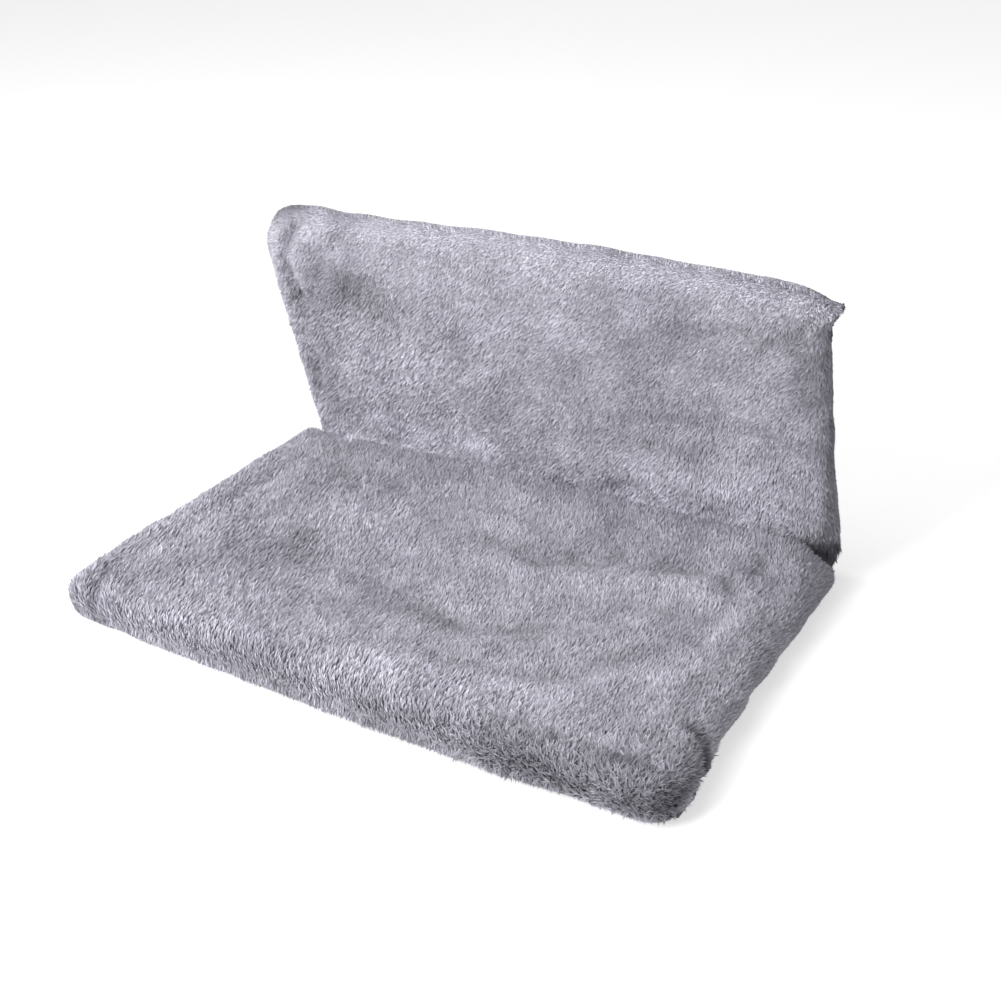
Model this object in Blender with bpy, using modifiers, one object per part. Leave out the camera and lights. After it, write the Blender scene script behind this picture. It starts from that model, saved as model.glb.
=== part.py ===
"""Radiator cat bed: a plush cover on a bent steel frame that hooks over a radiator.

The bed stands here with its seat flat on the ground. X runs along its width, Y from the
front edge of the seat to the back, Z up. The back leans forward over the seat, so that the
seat rises towards its front edge once the back hangs flat against a radiator.
"""

import math

import bmesh
import bpy
from mathutils import Vector

for old in list(bpy.data.objects):
    bpy.data.objects.remove(old, do_unlink=True)

# Frame
tube_diameter = 0.012
tube_wall = 0.0012
rail_spacing = 0.424
seat_depth = 0.282
back_length = 0.211
back_lean = math.radians(15.3)
seat_corner_bend = 0.020
back_corner_bend = 0.028
heel_bend = 0.015
foot_reach = 0.092
rail_setback = 0.019
tube_sides = 16
bend_steps = 7

# Flat bars and hooks
bar_thickness = 0.0025
bar_bend = 0.002
cross_bar_width = 0.012
cross_bar_setback = 0.042
tab_length = 0.016
hook_bar_width = 0.030
hook_bar_drop = 0.019
hook_spacing = 0.300
hook_width = 0.024
hook_bend = 0.006
hook_clearance = 0.00445
hook_grip = 0.060
hook_drop = 0.042
sleeve_wall = 0.002
sleeve_start = 0.020

# Fasteners
screw_diameter = 0.005
screw_head_diameter = 0.0095
screw_head_height = 0.0026
bar_screw_diameter = 0.004
bar_screw_head_diameter = 0.007
bar_screw_head_height = 0.002
bar_screw_offset = 0.0008
screw_end_reach = 0.0055
screw_sides = 12
hole_clearance = 0.0004
nut_width = 0.008
nut_sides = 6
nut_thickness = 0.004
countersink_depth = 0.0024
hook_screw_pitch = 0.016
hook_screw_length = 0.011
front_screw_advance = 0.028
cap_flange = 0.002
cap_stem = 0.010

# Cover
seat_plush = 0.0087
back_plush = 0.007
seat_cover_corner = 0.013
seat_lap = 0.011
back_lap = 0.012
seat_sag = 0.009
back_swell = 0.002
fold_height = 0.0022
pocket_cloth = 0.005
front_pocket_depth = 0.045
top_pocket_depth = 0.036
return_cloth = 0.003
seat_return_width = 0.028
back_return_width = 0.016
webbing_width = 0.020
webbing_thickness = 0.0012
crease_strap_spacing = 0.115
wrap_cells = 6
seat_cells_across = 6
seat_cells_along = 8
back_cells_across = 5
back_cells_along = 6
seat_corner_cells = 2
back_corner_cells = 3

# Seams and running fits
gap = 0.0003
crease_gap = 0.0006
ground_cut = 0.0005
edge_round = 0.0008
cut_overrun = 0.004
merge_distance = 0.00001

tube_radius = tube_diameter / 2
seat_rim = tube_radius + gap + seat_plush
back_rim = tube_radius + gap + back_plush
rim_height = seat_rim - ground_cut
rail_x = rail_spacing / 2
upright_x = rail_x - tube_diameter - gap
tab_x = upright_x - tube_radius - gap - bar_thickness / 2
cos_lean = math.cos(back_lean)
sin_lean = math.sin(back_lean)

# The hooks' arms pass just below the top pocket.
top_pocket_foot = back_length - back_lap - gap - top_pocket_depth
hook_arm_height = top_pocket_foot - hook_clearance - bar_thickness / 2
hook_bar_height = hook_arm_height - hook_bar_drop

# The hooks reach furthest back, at the lower outer corner of their sleeves.
hook_bar_offset = tube_radius - bar_thickness / 2
hook_leg_offset = hook_bar_offset + bar_thickness + gap
hook_drop_offset = hook_leg_offset + hook_grip + bar_thickness + gap + sleeve_wall
sleeve_reach = hook_drop_offset + bar_thickness / 2 + gap + sleeve_wall
sleeve_foot = hook_arm_height - hook_drop - gap - sleeve_wall
rear_overhang = sleeve_reach * cos_lean - sleeve_foot * sin_lean
seat_reach = seat_rim / math.cos(math.pi / 2 / wrap_cells)
total_depth = seat_reach + seat_depth + rear_overhang
front_axis_y = seat_reach - total_depth / 2
back_axis_y = front_axis_y + seat_depth
crease_y = back_axis_y - back_rim / cos_lean - (seat_rim + gap) * sin_lean / cos_lean
foot_y = back_axis_y - foot_reach
rail_end_y = back_axis_y - rail_setback
cross_bar_y = back_axis_y - cross_bar_setback - tab_length
rear_screw_y = cross_bar_y + tab_length / 2 + bar_thickness / 2
front_screw_y = rear_screw_y - front_screw_advance

parts = bpy.data.collections.new("radiator cat bed")
cutters = bpy.data.collections.new("cutters")
bpy.context.scene.collection.children.link(parts)
bpy.context.scene.collection.children.link(cutters)

back_plane = bpy.data.objects.new("back_plane", None)
back_plane.location = (0, back_axis_y, rim_height)
back_plane.rotation_euler.x = back_lean
parts.objects.link(back_plane)
bpy.context.view_layer.update()


def make_material(name, colour, roughness, metallic):
    material = bpy.data.materials.new(name)
    material.use_nodes = True
    shader = material.node_tree.nodes["Principled BSDF"]
    shader.inputs["Base Color"].default_value = (*colour, 1)
    shader.inputs["Roughness"].default_value = roughness
    shader.inputs["Metallic"].default_value = metallic
    return material


plush = make_material("grey plush", (0.36, 0.35, 0.40), 0.95, 0.0)
lining = make_material("grey lining", (0.24, 0.24, 0.27), 0.9, 0.0)
webbing = make_material("elastic webbing", (0.16, 0.16, 0.18), 0.85, 0.0)
painted_steel = make_material("white powder coat", (0.80, 0.80, 0.79), 0.45, 0.0)
zinc = make_material("zinc plated steel", (0.62, 0.62, 0.63), 0.35, 1.0)
plastic = make_material("black plastic", (0.03, 0.03, 0.03), 0.5, 0.0)
soft_vinyl = make_material("soft grey vinyl", (0.18, 0.18, 0.19), 0.7, 0.0)


def mesh_object(name, bm, collection=parts):
    """A new object that holds the bmesh, with its faces turned outwards."""
    bmesh.ops.recalc_face_normals(bm, faces=bm.faces)
    mesh = bpy.data.meshes.new(name)
    bm.to_mesh(mesh)
    bm.free()
    obj = bpy.data.objects.new(name, mesh)
    collection.objects.link(obj)
    return obj


def dress(obj, material, smooth=True):
    obj.data.materials.clear()
    obj.data.materials.append(material)
    if smooth:
        obj.data.shade_smooth()
    return obj


def on_back(obj):
    """Puts an object in the back's own frame: X across, Y out of its rear, Z up along it."""
    obj.parent = back_plane
    return obj


def cutter(obj):
    parts.objects.unlink(obj)
    cutters.objects.link(obj)
    obj.hide_render = True
    obj.display_type = "WIRE"
    return obj


def cut(obj, tool):
    boolean = obj.modifiers.new(tool.name, "BOOLEAN")
    boolean.operation = "DIFFERENCE"
    boolean.object = tool


def round_edges(obj, width):
    bevel = obj.modifiers.new("rounded edges", "BEVEL")
    bevel.width = width
    bevel.segments = 2
    bevel.limit_method = "ANGLE"


def rounded_path(corners, radius):
    """The corners joined by straight runs, with an arc of the radius at each inner one."""
    points = [corners[0]]
    for before, corner, after in zip(corners, corners[1:], corners[2:]):
        back = (before - corner).normalized()
        ahead = (after - corner).normalized()
        half = back.angle(ahead) / 2
        centre = corner + (back + ahead).normalized() * radius / math.sin(half)
        first = (corner + back * radius / math.tan(half) - centre).normalized()
        last = (corner + ahead * radius / math.tan(half) - centre).normalized()
        for step in range(bend_steps + 1):
            points.append(centre + radius * first.slerp(last, step / bend_steps))
    return points + [corners[-1]]


def path_through(corners, bends):
    """Like rounded_path, with a bend radius of its own for each inner corner."""
    points = [corners[0]]
    for index, bend in enumerate(bends):
        points += rounded_path(corners[index:index + 3], bend)[1:-1]
    return points + [corners[-1]]


def swept(name, points, radius, closed):
    """A round skin of the radius along the points, with its ends open or closed."""
    curve = bpy.data.curves.new(name, "CURVE")
    curve.dimensions = "3D"
    curve.bevel_depth = radius
    curve.bevel_resolution = (tube_sides - 4) // 2
    curve.use_fill_caps = closed
    spline = curve.splines.new("POLY")
    spline.points.add(len(points) - 1)
    for place, point in zip(spline.points, points):
        place.co = (*point, 1)
    guide = bpy.data.objects.new(name, curve)
    parts.objects.link(guide)
    graph = bpy.context.evaluated_depsgraph_get()
    bm = bmesh.new()
    bm.from_mesh(guide.evaluated_get(graph).to_mesh())
    bpy.data.objects.remove(guide, do_unlink=True)
    bmesh.ops.remove_doubles(bm, verts=bm.verts, dist=merge_distance)
    return mesh_object(name, bm)


def tube(name, points, material):
    """A hollow steel tube with open ends along the points."""
    obj = swept(name, points, tube_radius, False)
    shell = obj.modifiers.new("tube wall", "SOLIDIFY")
    shell.thickness = tube_wall
    shell.offset = -1
    shell.use_even_offset = True
    return dress(obj, material)


def turned(name, profile, steps):
    """A body turned about its Z axis from (radius, height) points, top to bottom."""
    bm = bmesh.new()
    ring = [bm.verts.new((radius, 0, height)) for radius, height in profile]
    for upper, lower in zip(ring, ring[1:]):
        bm.edges.new((upper, lower))
    mesh = bpy.data.meshes.new(name)
    bm.to_mesh(mesh)
    bm.free()
    obj = bpy.data.objects.new(name, mesh)
    parts.objects.link(obj)
    screw = obj.modifiers.new("turned", "SCREW")
    screw.steps = steps
    screw.render_steps = steps
    screw.use_merge_vertices = True
    screw.merge_threshold = merge_distance
    return obj


def strip(name, points, width, thickness):
    """A flat bar bent along the points, which lie in a plane square to its width axis X or Z."""
    bm = bmesh.new()
    flat = all(point.x == points[0].x for point in points)
    side = Vector((width / 2, 0, 0)) if flat else Vector((0, 0, width / 2))
    edges = [(bm.verts.new(point - side), bm.verts.new(point + side)) for point in points]
    for (a, b), (c, d) in zip(edges, edges[1:]):
        bm.faces.new((a, b, d, c))
    obj = mesh_object(name, bm)
    shell = obj.modifiers.new("thickness", "SOLIDIFY")
    shell.thickness = thickness
    shell.offset = 0
    shell.use_even_offset = True
    return obj


def slab(name, outline, thickness):
    """A flat piece of the outline, which lies in its own XY plane, as thick as said."""
    curve = bpy.data.curves.new(name, "CURVE")
    curve.dimensions = "2D"
    curve.fill_mode = "BOTH"
    curve.extrude = thickness / 2
    spline = curve.splines.new("POLY")
    spline.use_cyclic_u = True
    spline.points.add(len(outline) - 1)
    for place, (x, y) in zip(spline.points, outline):
        place.co = (x, y, 0, 1)
    obj = bpy.data.objects.new(name, curve)
    parts.objects.link(obj)
    return obj


def hole_cutter(name, radius, length, place, along):
    bm = bmesh.new()
    bmesh.ops.create_cone(
        bm, cap_ends=True, segments=screw_sides, radius1=radius, radius2=radius, depth=length
    )
    obj = cutter(mesh_object(name, bm))
    obj.location = place
    obj.rotation_mode = "QUATERNION"
    obj.rotation_quaternion = Vector((0, 0, 1)).rotation_difference(along)
    return obj


# Seat frame: one tube bent into a U, with its open ends at the rear.
seat_corners = [
    Vector((-rail_x, rail_end_y, rim_height)),
    Vector((-rail_x, front_axis_y, rim_height)),
    Vector((rail_x, front_axis_y, rim_height)),
    Vector((rail_x, rail_end_y, rim_height)),
]
seat_frame = tube(
    "seat_frame", path_through(seat_corners, [seat_corner_bend] * 2), painted_steel
)

# Back frame: one tube from foot to foot, by the heels, the uprights and the top bar.
top_y = back_axis_y - back_length * sin_lean
top_z = rim_height + back_length * cos_lean
back_corners = [
    Vector((-upright_x, foot_y, rim_height)),
    Vector((-upright_x, back_axis_y, rim_height)),
    Vector((-upright_x, top_y, top_z)),
    Vector((upright_x, top_y, top_z)),
    Vector((upright_x, back_axis_y, rim_height)),
    Vector((upright_x, foot_y, rim_height)),
]
back_bends = [heel_bend, back_corner_bend, back_corner_bend, heel_bend]
back_frame = tube("back_frame", path_through(back_corners, back_bends), painted_steel)


# Plugs in the four open tube ends.
def tube_cap(name, x, y, turn):
    bore = tube_radius - tube_wall - gap
    flange = tube_radius
    profile = [
        (0, cap_flange),
        (flange - cap_flange / 2, cap_flange),
        (flange, cap_flange / 2),
        (flange, 0),
        (bore, 0),
        (bore, -cap_stem),
        (0, -cap_stem),
    ]
    cap = dress(turned(name, profile, tube_sides), plastic)
    cap.location = (x, y, rim_height)
    cap.rotation_euler.x = turn
    return cap


for side, sign in (("left", -1), ("right", 1)):
    tube_cap(f"rail_cap_{side}", sign * rail_x, rail_end_y + gap, -math.pi / 2)
    tube_cap(f"foot_cap_{side}", sign * upright_x, foot_y - gap, math.pi / 2)


# Flat bars: each has its ends bent into tabs, which lie on the inner sides of the tubes.
def tabbed_bar(name, width, tab):
    tab = Vector((0, tab, 0))
    corner = Vector((tab_x, 0, 0))
    path = path_through([tab - corner, -corner, corner, corner + tab], [bar_bend] * 2)
    bar = dress(strip(name, path, width, bar_thickness), painted_steel)
    round_edges(bar, edge_round)
    return bar


cross_bar = tabbed_bar("cross_bar", cross_bar_width, tab_length)
cross_bar.location = (0, cross_bar_y, rim_height)
hook_bar = on_back(tabbed_bar("hook_bar", hook_bar_width, -hook_bar_offset - tube_radius))
hook_bar.location = (0, hook_bar_offset, hook_bar_height)


# Screws: a domed head on a plain shank, along +X from the head.
def dome_screw(name, diameter, head_diameter, head_height, length):
    profile = [
        (0, head_height),
        (head_diameter / 4, head_height),
        (head_diameter / 2, head_height / 3),
        (head_diameter / 2, 0),
        (diameter / 2, 0),
        (diameter / 2, -length),
        (0, -length),
    ]
    return dress(turned(name, profile, screw_sides), zinc)


hole_radius = screw_diameter / 2 + hole_clearance
tab_face = tab_x - bar_thickness / 2
foot_face = upright_x - tube_radius
front_length = rail_x - foot_face - tube_radius + tube_wall + screw_end_reach
rear_length = front_length + foot_face - tab_face
upright_length = foot_face - tab_face + tube_wall + screw_end_reach
for side, sign in (("left", -1), ("right", 1)):
    outward = Vector((sign, 0, 0))
    joints = (("front", front_screw_y, foot_face), ("rear", rear_screw_y, tab_face))
    for place, y, face in joints:
        start = face - gap
        screw = dome_screw(
            f"joint_screw_{place}_{side}",
            screw_diameter,
            screw_head_diameter,
            screw_head_height,
            front_length if place == "front" else rear_length,
        )
        screw.location = (sign * start, y, rim_height)
        screw.rotation_euler.y = -sign * math.pi / 2
        span = rail_x - start + cut_overrun
        middle = Vector((sign * (start - cut_overrun + rail_x) / 2, y, rim_height))
        drill = hole_cutter(f"joint_drill_{place}_{side}", hole_radius, span, middle, outward)
        for drilled in (seat_frame, back_frame, cross_bar):
            if drilled is not cross_bar or place == "rear":
                cut(drilled, drill)
    screw = on_back(
        dome_screw(
            f"hook_bar_screw_{side}",
            bar_screw_diameter,
            bar_screw_head_diameter,
            bar_screw_head_height,
            upright_length,
        )
    )
    start = tab_face - gap
    screw.location = (sign * start, -bar_screw_offset, hook_bar_height)
    screw.rotation_euler.y = -sign * math.pi / 2
    middle_x = sign * (start - cut_overrun + upright_x) / 2
    middle = Vector((middle_x, -bar_screw_offset, hook_bar_height))
    span = upright_x - start + cut_overrun
    drill_radius = bar_screw_diameter / 2 + hole_clearance
    drill = on_back(hole_cutter(f"hook_bar_drill_{side}", drill_radius, span, middle, outward))
    cut(back_frame, drill)
    cut(hook_bar, drill)


# Hooks: a leg screwed to the hook bar, an arm over the radiator and a drop behind it.
def hook_path(start, drop):
    """The hook's middle line in the back's frame, from the start along it to the drop's end."""
    leg = Vector((0, hook_leg_offset, hook_bar_height - hook_bar_width / 2))
    inner = Vector((0, hook_leg_offset, hook_arm_height))
    outer = Vector((0, hook_drop_offset, hook_arm_height))
    end = Vector((0, hook_drop_offset, hook_arm_height - drop))
    if start:
        return path_through([inner + Vector((0, start, 0)), outer, end], [hook_bend])
    return path_through([leg, inner, outer, end], [hook_bend] * 2)


for side, sign in (("left", -1), ("right", 1)):
    hook_x = sign * hook_spacing / 2
    hook = strip(f"hook_{side}", hook_path(0, hook_drop), hook_width, bar_thickness)
    round_edges(dress(hook, painted_steel), edge_round)
    on_back(hook).location.x = hook_x

    sleeve = strip(
        f"hook_sleeve_{side}",
        hook_path(sleeve_start, hook_drop + gap + sleeve_wall),
        hook_width + 2 * (gap + sleeve_wall),
        bar_thickness + 2 * (gap + sleeve_wall),
    )
    round_edges(dress(sleeve, soft_vinyl), edge_round)
    on_back(sleeve).location.x = hook_x
    bore = strip(
        f"sleeve_bore_{side}",
        hook_path(sleeve_start - cut_overrun, hook_drop + gap),
        hook_width + 2 * gap,
        bar_thickness + 2 * gap,
    )
    on_back(cutter(bore)).location.x = hook_x
    cut(sleeve, bore)

    for place, step in (("upper", 1), ("lower", -1)):
        height = hook_bar_height + step * hook_screw_pitch / 2
        face = hook_leg_offset + bar_thickness / 2
        profile = [
            (0, 0),
            (screw_head_diameter / 2, 0),
            (screw_diameter / 2, -countersink_depth),
            (screw_diameter / 2, -hook_screw_length),
            (0, -hook_screw_length),
        ]
        screw = dress(turned(f"hook_screw_{place}_{side}", profile, screw_sides), zinc)
        on_back(screw).location = (hook_x, face, height)
        screw.rotation_euler.x = -math.pi / 2
        sink = [
            (0, cut_overrun),
            (screw_head_diameter / 2 + hole_clearance + cut_overrun, cut_overrun),
            (screw_head_diameter / 2 + hole_clearance, 0),
            (hole_radius, -countersink_depth),
            (hole_radius, -hook_screw_length),
            (0, -hook_screw_length),
        ]
        drill = turned(f"hook_drill_{place}_{side}", sink, screw_sides)
        on_back(cutter(drill)).location = (hook_x, face, height)
        drill.rotation_euler.x = -math.pi / 2
        cut(hook, drill)
        cut(hook_bar, drill)

        across = nut_width / 2 / math.cos(math.pi / nut_sides)
        bore_corner = hole_radius / math.cos(math.pi / nut_sides)
        nut_profile = [
            (bore_corner, nut_thickness / 2),
            (across, nut_thickness / 2),
            (across, -nut_thickness / 2),
            (bore_corner, -nut_thickness / 2),
            (bore_corner, nut_thickness / 2),
        ]
        nut = turned(f"hook_nut_{place}_{side}", nut_profile, nut_sides)
        dress(nut, zinc, smooth=False)
        nut_y = hook_bar_offset - bar_thickness / 2 - gap - nut_thickness / 2
        on_back(nut).location = (hook_x, nut_y, height)
        nut.rotation_euler.x = -math.pi / 2


# Cover: two plush panels, each stretched between its rims and rolled right round them.
def rolled_edge(beyond, corner, radius):
    """How far out and how high the cloth is, this far beyond the flat middle of its panel."""
    turn = (beyond - corner) / radius
    if turn <= 0:
        return beyond, radius, 0
    if turn < math.pi:
        return corner + radius * math.sin(turn), radius * math.cos(turn), turn
    return corner - (beyond - corner - math.pi * radius), -radius, math.pi


def corner_direction(across, along):
    """Spreads a square corner of the cloth evenly over a quarter turn."""
    if max(across, along) == 0:
        return 0, 0
    if along <= across:
        return across, math.pi / 4 * along / across
    return along, math.pi / 2 - math.pi / 4 * across / along


def stops(core, corner, radius, lap, cells, corner_cells):
    """Where the cloth's grid lines lie, from the panel's middle to the end of its lap."""
    lines = [0]
    for length, count in (
        (core, cells),
        (corner, corner_cells),
        (math.pi * radius, wrap_cells),
        (lap, 1),
    ):
        end = lines[-1]
        lines += [end + length * step / count for step in range(1, count + 1)]
    return lines


def panel(name, half_width, length, corner, lap, cells, relief, start, depth):
    """A cloth panel in its own frame: X across, Y along it from the crease, Z out of its face.

    half_width and length reach to the middle of the rim tubes. cells counts the grid's cells
    across, along and in a corner. relief(x, y) lifts the flat middle, and start(turn) is how
    far the crease end moves on round the rolled sides.
    """
    radius = (tube_radius + gap + depth / 2) / math.cos(math.pi / 2 / wrap_cells)
    core_x = half_width - corner
    core_y = length - corner
    cells_across, cells_along, corner_cells = cells
    across = stops(core_x, corner, radius, lap, cells_across, corner_cells)
    across = [-value for value in reversed(across[1:])] + across
    along = stops(core_y, corner, radius, lap, cells_along, corner_cells)
    bm = bmesh.new()
    columns = len(across) - 1
    rows = len(along) - 1
    bmesh.ops.create_grid(bm, x_segments=columns, y_segments=rows, size=1)
    for vert in bm.verts:
        a = across[round((vert.co.x + 1) / 2 * columns)]
        b = along[round((vert.co.y + 1) / 2 * rows)]
        inner_x = max(-core_x, min(core_x, a))
        inner_y = min(core_y, b)
        beyond, direction = corner_direction(abs(a) - abs(inner_x), b - inner_y)
        out, height, turn = rolled_edge(beyond, corner, radius)
        side = math.copysign(1, a)
        x = inner_x + side * out * math.cos(direction)
        y = inner_y + out * math.sin(direction)
        if turn == 0:
            height += relief(x / half_width, y / length)
        shift = start(turn if b < core_y else 0) * (1 - inner_y / core_y)
        vert.co = (x, y + shift, height)
    obj = mesh_object(name, bm)
    shell = obj.modifiers.new("plush depth", "SOLIDIFY")
    shell.thickness = depth
    shell.offset = 0
    shell.use_even_offset = True
    return dress(obj, plush)


def ease(value, low, high):
    share = max(0, min(1, (value - low) / (high - low)))
    return share * share * (3 - 2 * share)


bar_rest_share = 0.20
fold_count_shares = (2.4, 1.3)


def seat_relief(x, y):
    """The seat rests on the cross bar near the crease, sags in front of it and has soft folds."""
    span = max(0, min(1, (y - bar_rest_share) / (1 - bar_rest_share)))
    sag = math.sin(math.pi * span) ** 2 * (1 - x * x) ** 2
    across_folds, along_folds = fold_count_shares
    folds = math.sin(2 * math.pi * (across_folds * (x - y / 2) + along_folds * y))
    return -seat_sag * sag + fold_height * folds * sag


def back_relief(x, y):
    """The back swells a little between its uprights and has one slack fold across it."""
    middle = (1 - x * x) * math.sin(math.pi * max(0, min(1, y))) ** 2
    across_folds, along_folds = fold_count_shares
    folds = math.sin(2 * math.pi * (along_folds * x + across_folds * y / 2))
    return back_swell * middle * (1 + folds) / 2


crease_depth = crease_y - crease_gap - front_axis_y
side_tuck = back_axis_y - back_rim / 2 - crease_y
seat_cover = panel(
    "seat_cover",
    rail_x,
    crease_depth,
    seat_cover_corner,
    seat_lap,
    (seat_cells_across, seat_cells_along, seat_corner_cells),
    seat_relief,
    lambda turn: -side_tuck * ease(turn, math.pi / 6, math.pi / 2),
    seat_plush,
)
seat_cover.location = (0, crease_y - crease_gap, rim_height)
seat_cover.rotation_euler.z = math.pi

# The back's front sheet stops above the feet, and its sides run on down to the ground.
back_start = tube_radius + gap + back_plush / 2
heel_drop = back_start + rim_height + gap
back_cover = panel(
    "back_cover",
    upright_x,
    back_length - back_start,
    back_corner_bend,
    back_lap,
    (back_cells_across, back_cells_along, back_corner_cells),
    back_relief,
    lambda turn: -heel_drop * ease(turn, math.pi / 3, math.pi / 2),
    back_plush,
)
on_back(back_cover).location.z = back_start
back_cover.rotation_euler.x = math.pi / 2

# Both covers and the straps lie flat where they meet the ground.
bm = bmesh.new()
bmesh.ops.create_cube(bm, size=1)
bmesh.ops.scale(bm, vec=(rail_spacing * 2, total_depth * 2, seat_rim), verts=bm.verts)
ground = cutter(mesh_object("ground", bm))
ground.location.z = -seat_rim / 2
cut(seat_cover, ground)
cut(back_cover, ground)

# The back cover's front sheet makes room for the heels, which bend forward out of the uprights.
for side, corners in (("left", back_corners[:3]), ("right", back_corners[:-4:-1])):
    heel = rounded_path(corners, heel_bend)[1:-1]
    passage = cutter(swept(f"heel_passage_{side}", heel, tube_radius + gap, True))
    cut(back_cover, passage)


# Pocket flaps: flat cloth that closes the cover under the front bar and behind the top bar.
def flap_outline(half_width, depth, corner):
    """A rectangle with its two far corners rounded, from y = 0 up to y = depth."""
    corners = [
        Vector((-half_width, 0, 0)),
        Vector((-half_width, depth, 0)),
        Vector((half_width, depth, 0)),
        Vector((half_width, 0, 0)),
    ]
    return [(point.x, point.y) for point in path_through(corners, [corner] * 2)]


def square_outline(half_width, depth):
    return [(-half_width, 0), (-half_width, depth), (half_width, depth), (half_width, 0)]


front_pocket_half = rail_x - seat_lap - gap
front_pocket_corner = seat_cover_corner - seat_lap
front_pocket_outline = flap_outline(front_pocket_half, front_pocket_depth, front_pocket_corner)
front_pocket = slab("front_pocket", front_pocket_outline, pocket_cloth)
front_pocket_rear = front_axis_y + seat_lap + gap + front_pocket_depth
front_pocket.location = (0, front_pocket_rear, pocket_cloth / 2)
front_pocket.rotation_euler.z = math.pi
front_pocket.data.materials.append(plush)

top_pocket_half = upright_x - back_lap - gap
top_pocket_corner = back_corner_bend - back_lap - gap
top_pocket_outline = flap_outline(top_pocket_half, top_pocket_depth, top_pocket_corner)
top_pocket = on_back(slab("top_pocket", top_pocket_outline, pocket_cloth))
back_face = tube_radius + gap
top_pocket.location = (0, back_face + pocket_cloth / 2, top_pocket_foot)
top_pocket.rotation_euler.x = math.pi / 2
top_pocket.data.materials.append(plush)

# Returns: facing strips that carry the cover's sides on behind the uprights and under the rails.
seat_return_start = front_pocket_rear + gap
seat_return_length = rail_end_y - seat_lap - seat_return_start
back_return_start = tube_diameter
back_return_length = top_pocket_foot - gap - back_return_start
for side, sign in (("left", -1), ("right", 1)):
    middle_x = sign * (front_pocket_half - seat_return_width / 2)
    piece = slab(
        f"seat_return_{side}",
        square_outline(seat_return_width / 2, seat_return_length),
        return_cloth,
    )
    piece.location = (middle_x, seat_return_start, return_cloth / 2)
    piece.data.materials.append(lining)
    middle_x = sign * (top_pocket_half - back_return_width / 2)
    piece = on_back(
        slab(
            f"back_return_{side}",
            square_outline(back_return_width / 2, back_return_length),
            return_cloth,
        )
    )
    piece.location = (middle_x, back_face + return_cloth / 2, back_return_start)
    piece.rotation_euler.x = math.pi / 2
    piece.data.materials.append(lining)


# Elastic straps: they draw the two returns together under the seat and behind the back.
def elastic_strap(name, half_length):
    bm = bmesh.new()
    bmesh.ops.create_cube(bm, size=1)
    size = (2 * half_length, webbing_width, webbing_thickness)
    bmesh.ops.scale(bm, vec=size, verts=bm.verts)
    return dress(mesh_object(name, bm), webbing, smooth=False)


seat_strap_half = front_pocket_half - seat_return_width - gap
strap_place_shares = {"front": 0.28, "rear": 0.72}
for place, share in strap_place_shares.items():
    strap = elastic_strap(f"seat_strap_{place}", seat_strap_half)
    strap_y = seat_return_start + share * seat_return_length
    strap.location = (0, strap_y, return_cloth / 2)
back_strap_share = 0.40
back_strap = on_back(elastic_strap("back_strap", top_pocket_half - back_return_width - gap))
strap_height = back_return_start + back_strap_share * back_return_length
back_strap.location = (0, back_face + return_cloth / 2, strap_height)
back_strap.rotation_euler.x = math.pi / 2

# Crease straps: webbing sewn into the crease, which loops under and round the cross bar.
strap_centre = webbing_thickness / 2 + gap
strap_top = rim_height + cross_bar_width / 2
strap_low = rim_height - cross_bar_width / 2 - strap_centre
strap_front = cross_bar_y - bar_thickness / 2 - strap_centre
strap_rear = crease_y + strap_centre - gap
crease_path = path_through(
    [
        Vector((0, strap_rear, strap_top)),
        Vector((0, strap_rear, strap_low)),
        Vector((0, strap_front, strap_low)),
        Vector((0, strap_front, strap_top)),
    ],
    [webbing_thickness * 2] * 2,
)
for place, step in (("left", -1), ("middle", 0), ("right", 1)):
    strap = strip(f"crease_strap_{place}", crease_path, webbing_width, webbing_thickness)
    dress(strap, webbing).location.x = step * crease_strap_spacing
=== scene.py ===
import math

import bmesh
import bpy
import numpy as np
from mathutils import Matrix, Vector


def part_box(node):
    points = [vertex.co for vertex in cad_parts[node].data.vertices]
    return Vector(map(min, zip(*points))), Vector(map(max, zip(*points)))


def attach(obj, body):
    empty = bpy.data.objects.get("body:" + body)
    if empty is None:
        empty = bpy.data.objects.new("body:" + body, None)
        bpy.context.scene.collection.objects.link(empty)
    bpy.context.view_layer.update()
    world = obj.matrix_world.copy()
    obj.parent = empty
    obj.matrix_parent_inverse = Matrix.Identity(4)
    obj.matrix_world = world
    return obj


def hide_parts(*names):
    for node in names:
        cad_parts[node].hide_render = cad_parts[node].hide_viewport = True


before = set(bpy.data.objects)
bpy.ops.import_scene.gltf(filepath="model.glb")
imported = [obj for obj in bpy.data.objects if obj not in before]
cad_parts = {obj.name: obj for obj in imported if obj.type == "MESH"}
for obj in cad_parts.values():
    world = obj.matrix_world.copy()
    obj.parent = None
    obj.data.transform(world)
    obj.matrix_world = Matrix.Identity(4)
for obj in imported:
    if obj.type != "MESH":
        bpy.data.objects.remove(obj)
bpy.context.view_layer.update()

# Room, light and camera
# A plain white floor, a soft light from the front and one from above, and the viewing angle of
# the photograph. None of this belongs to the bed.
floor_mesh = bpy.data.meshes.new("floor")
floor_half = 5.0
floor_drop = 0.0002
floor_glow = 0.55
floor_corners = [(floor_half * x, floor_half * y, 0) for x, y in ((-1, -1), (1, -1), (1, 1), (-1, 1))]
floor_mesh.from_pydata(floor_corners, [], [(0, 1, 2, 3)])
floor = bpy.data.objects.new("floor", floor_mesh)
floor.location.z = -floor_drop
bpy.context.collection.objects.link(floor)

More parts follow.
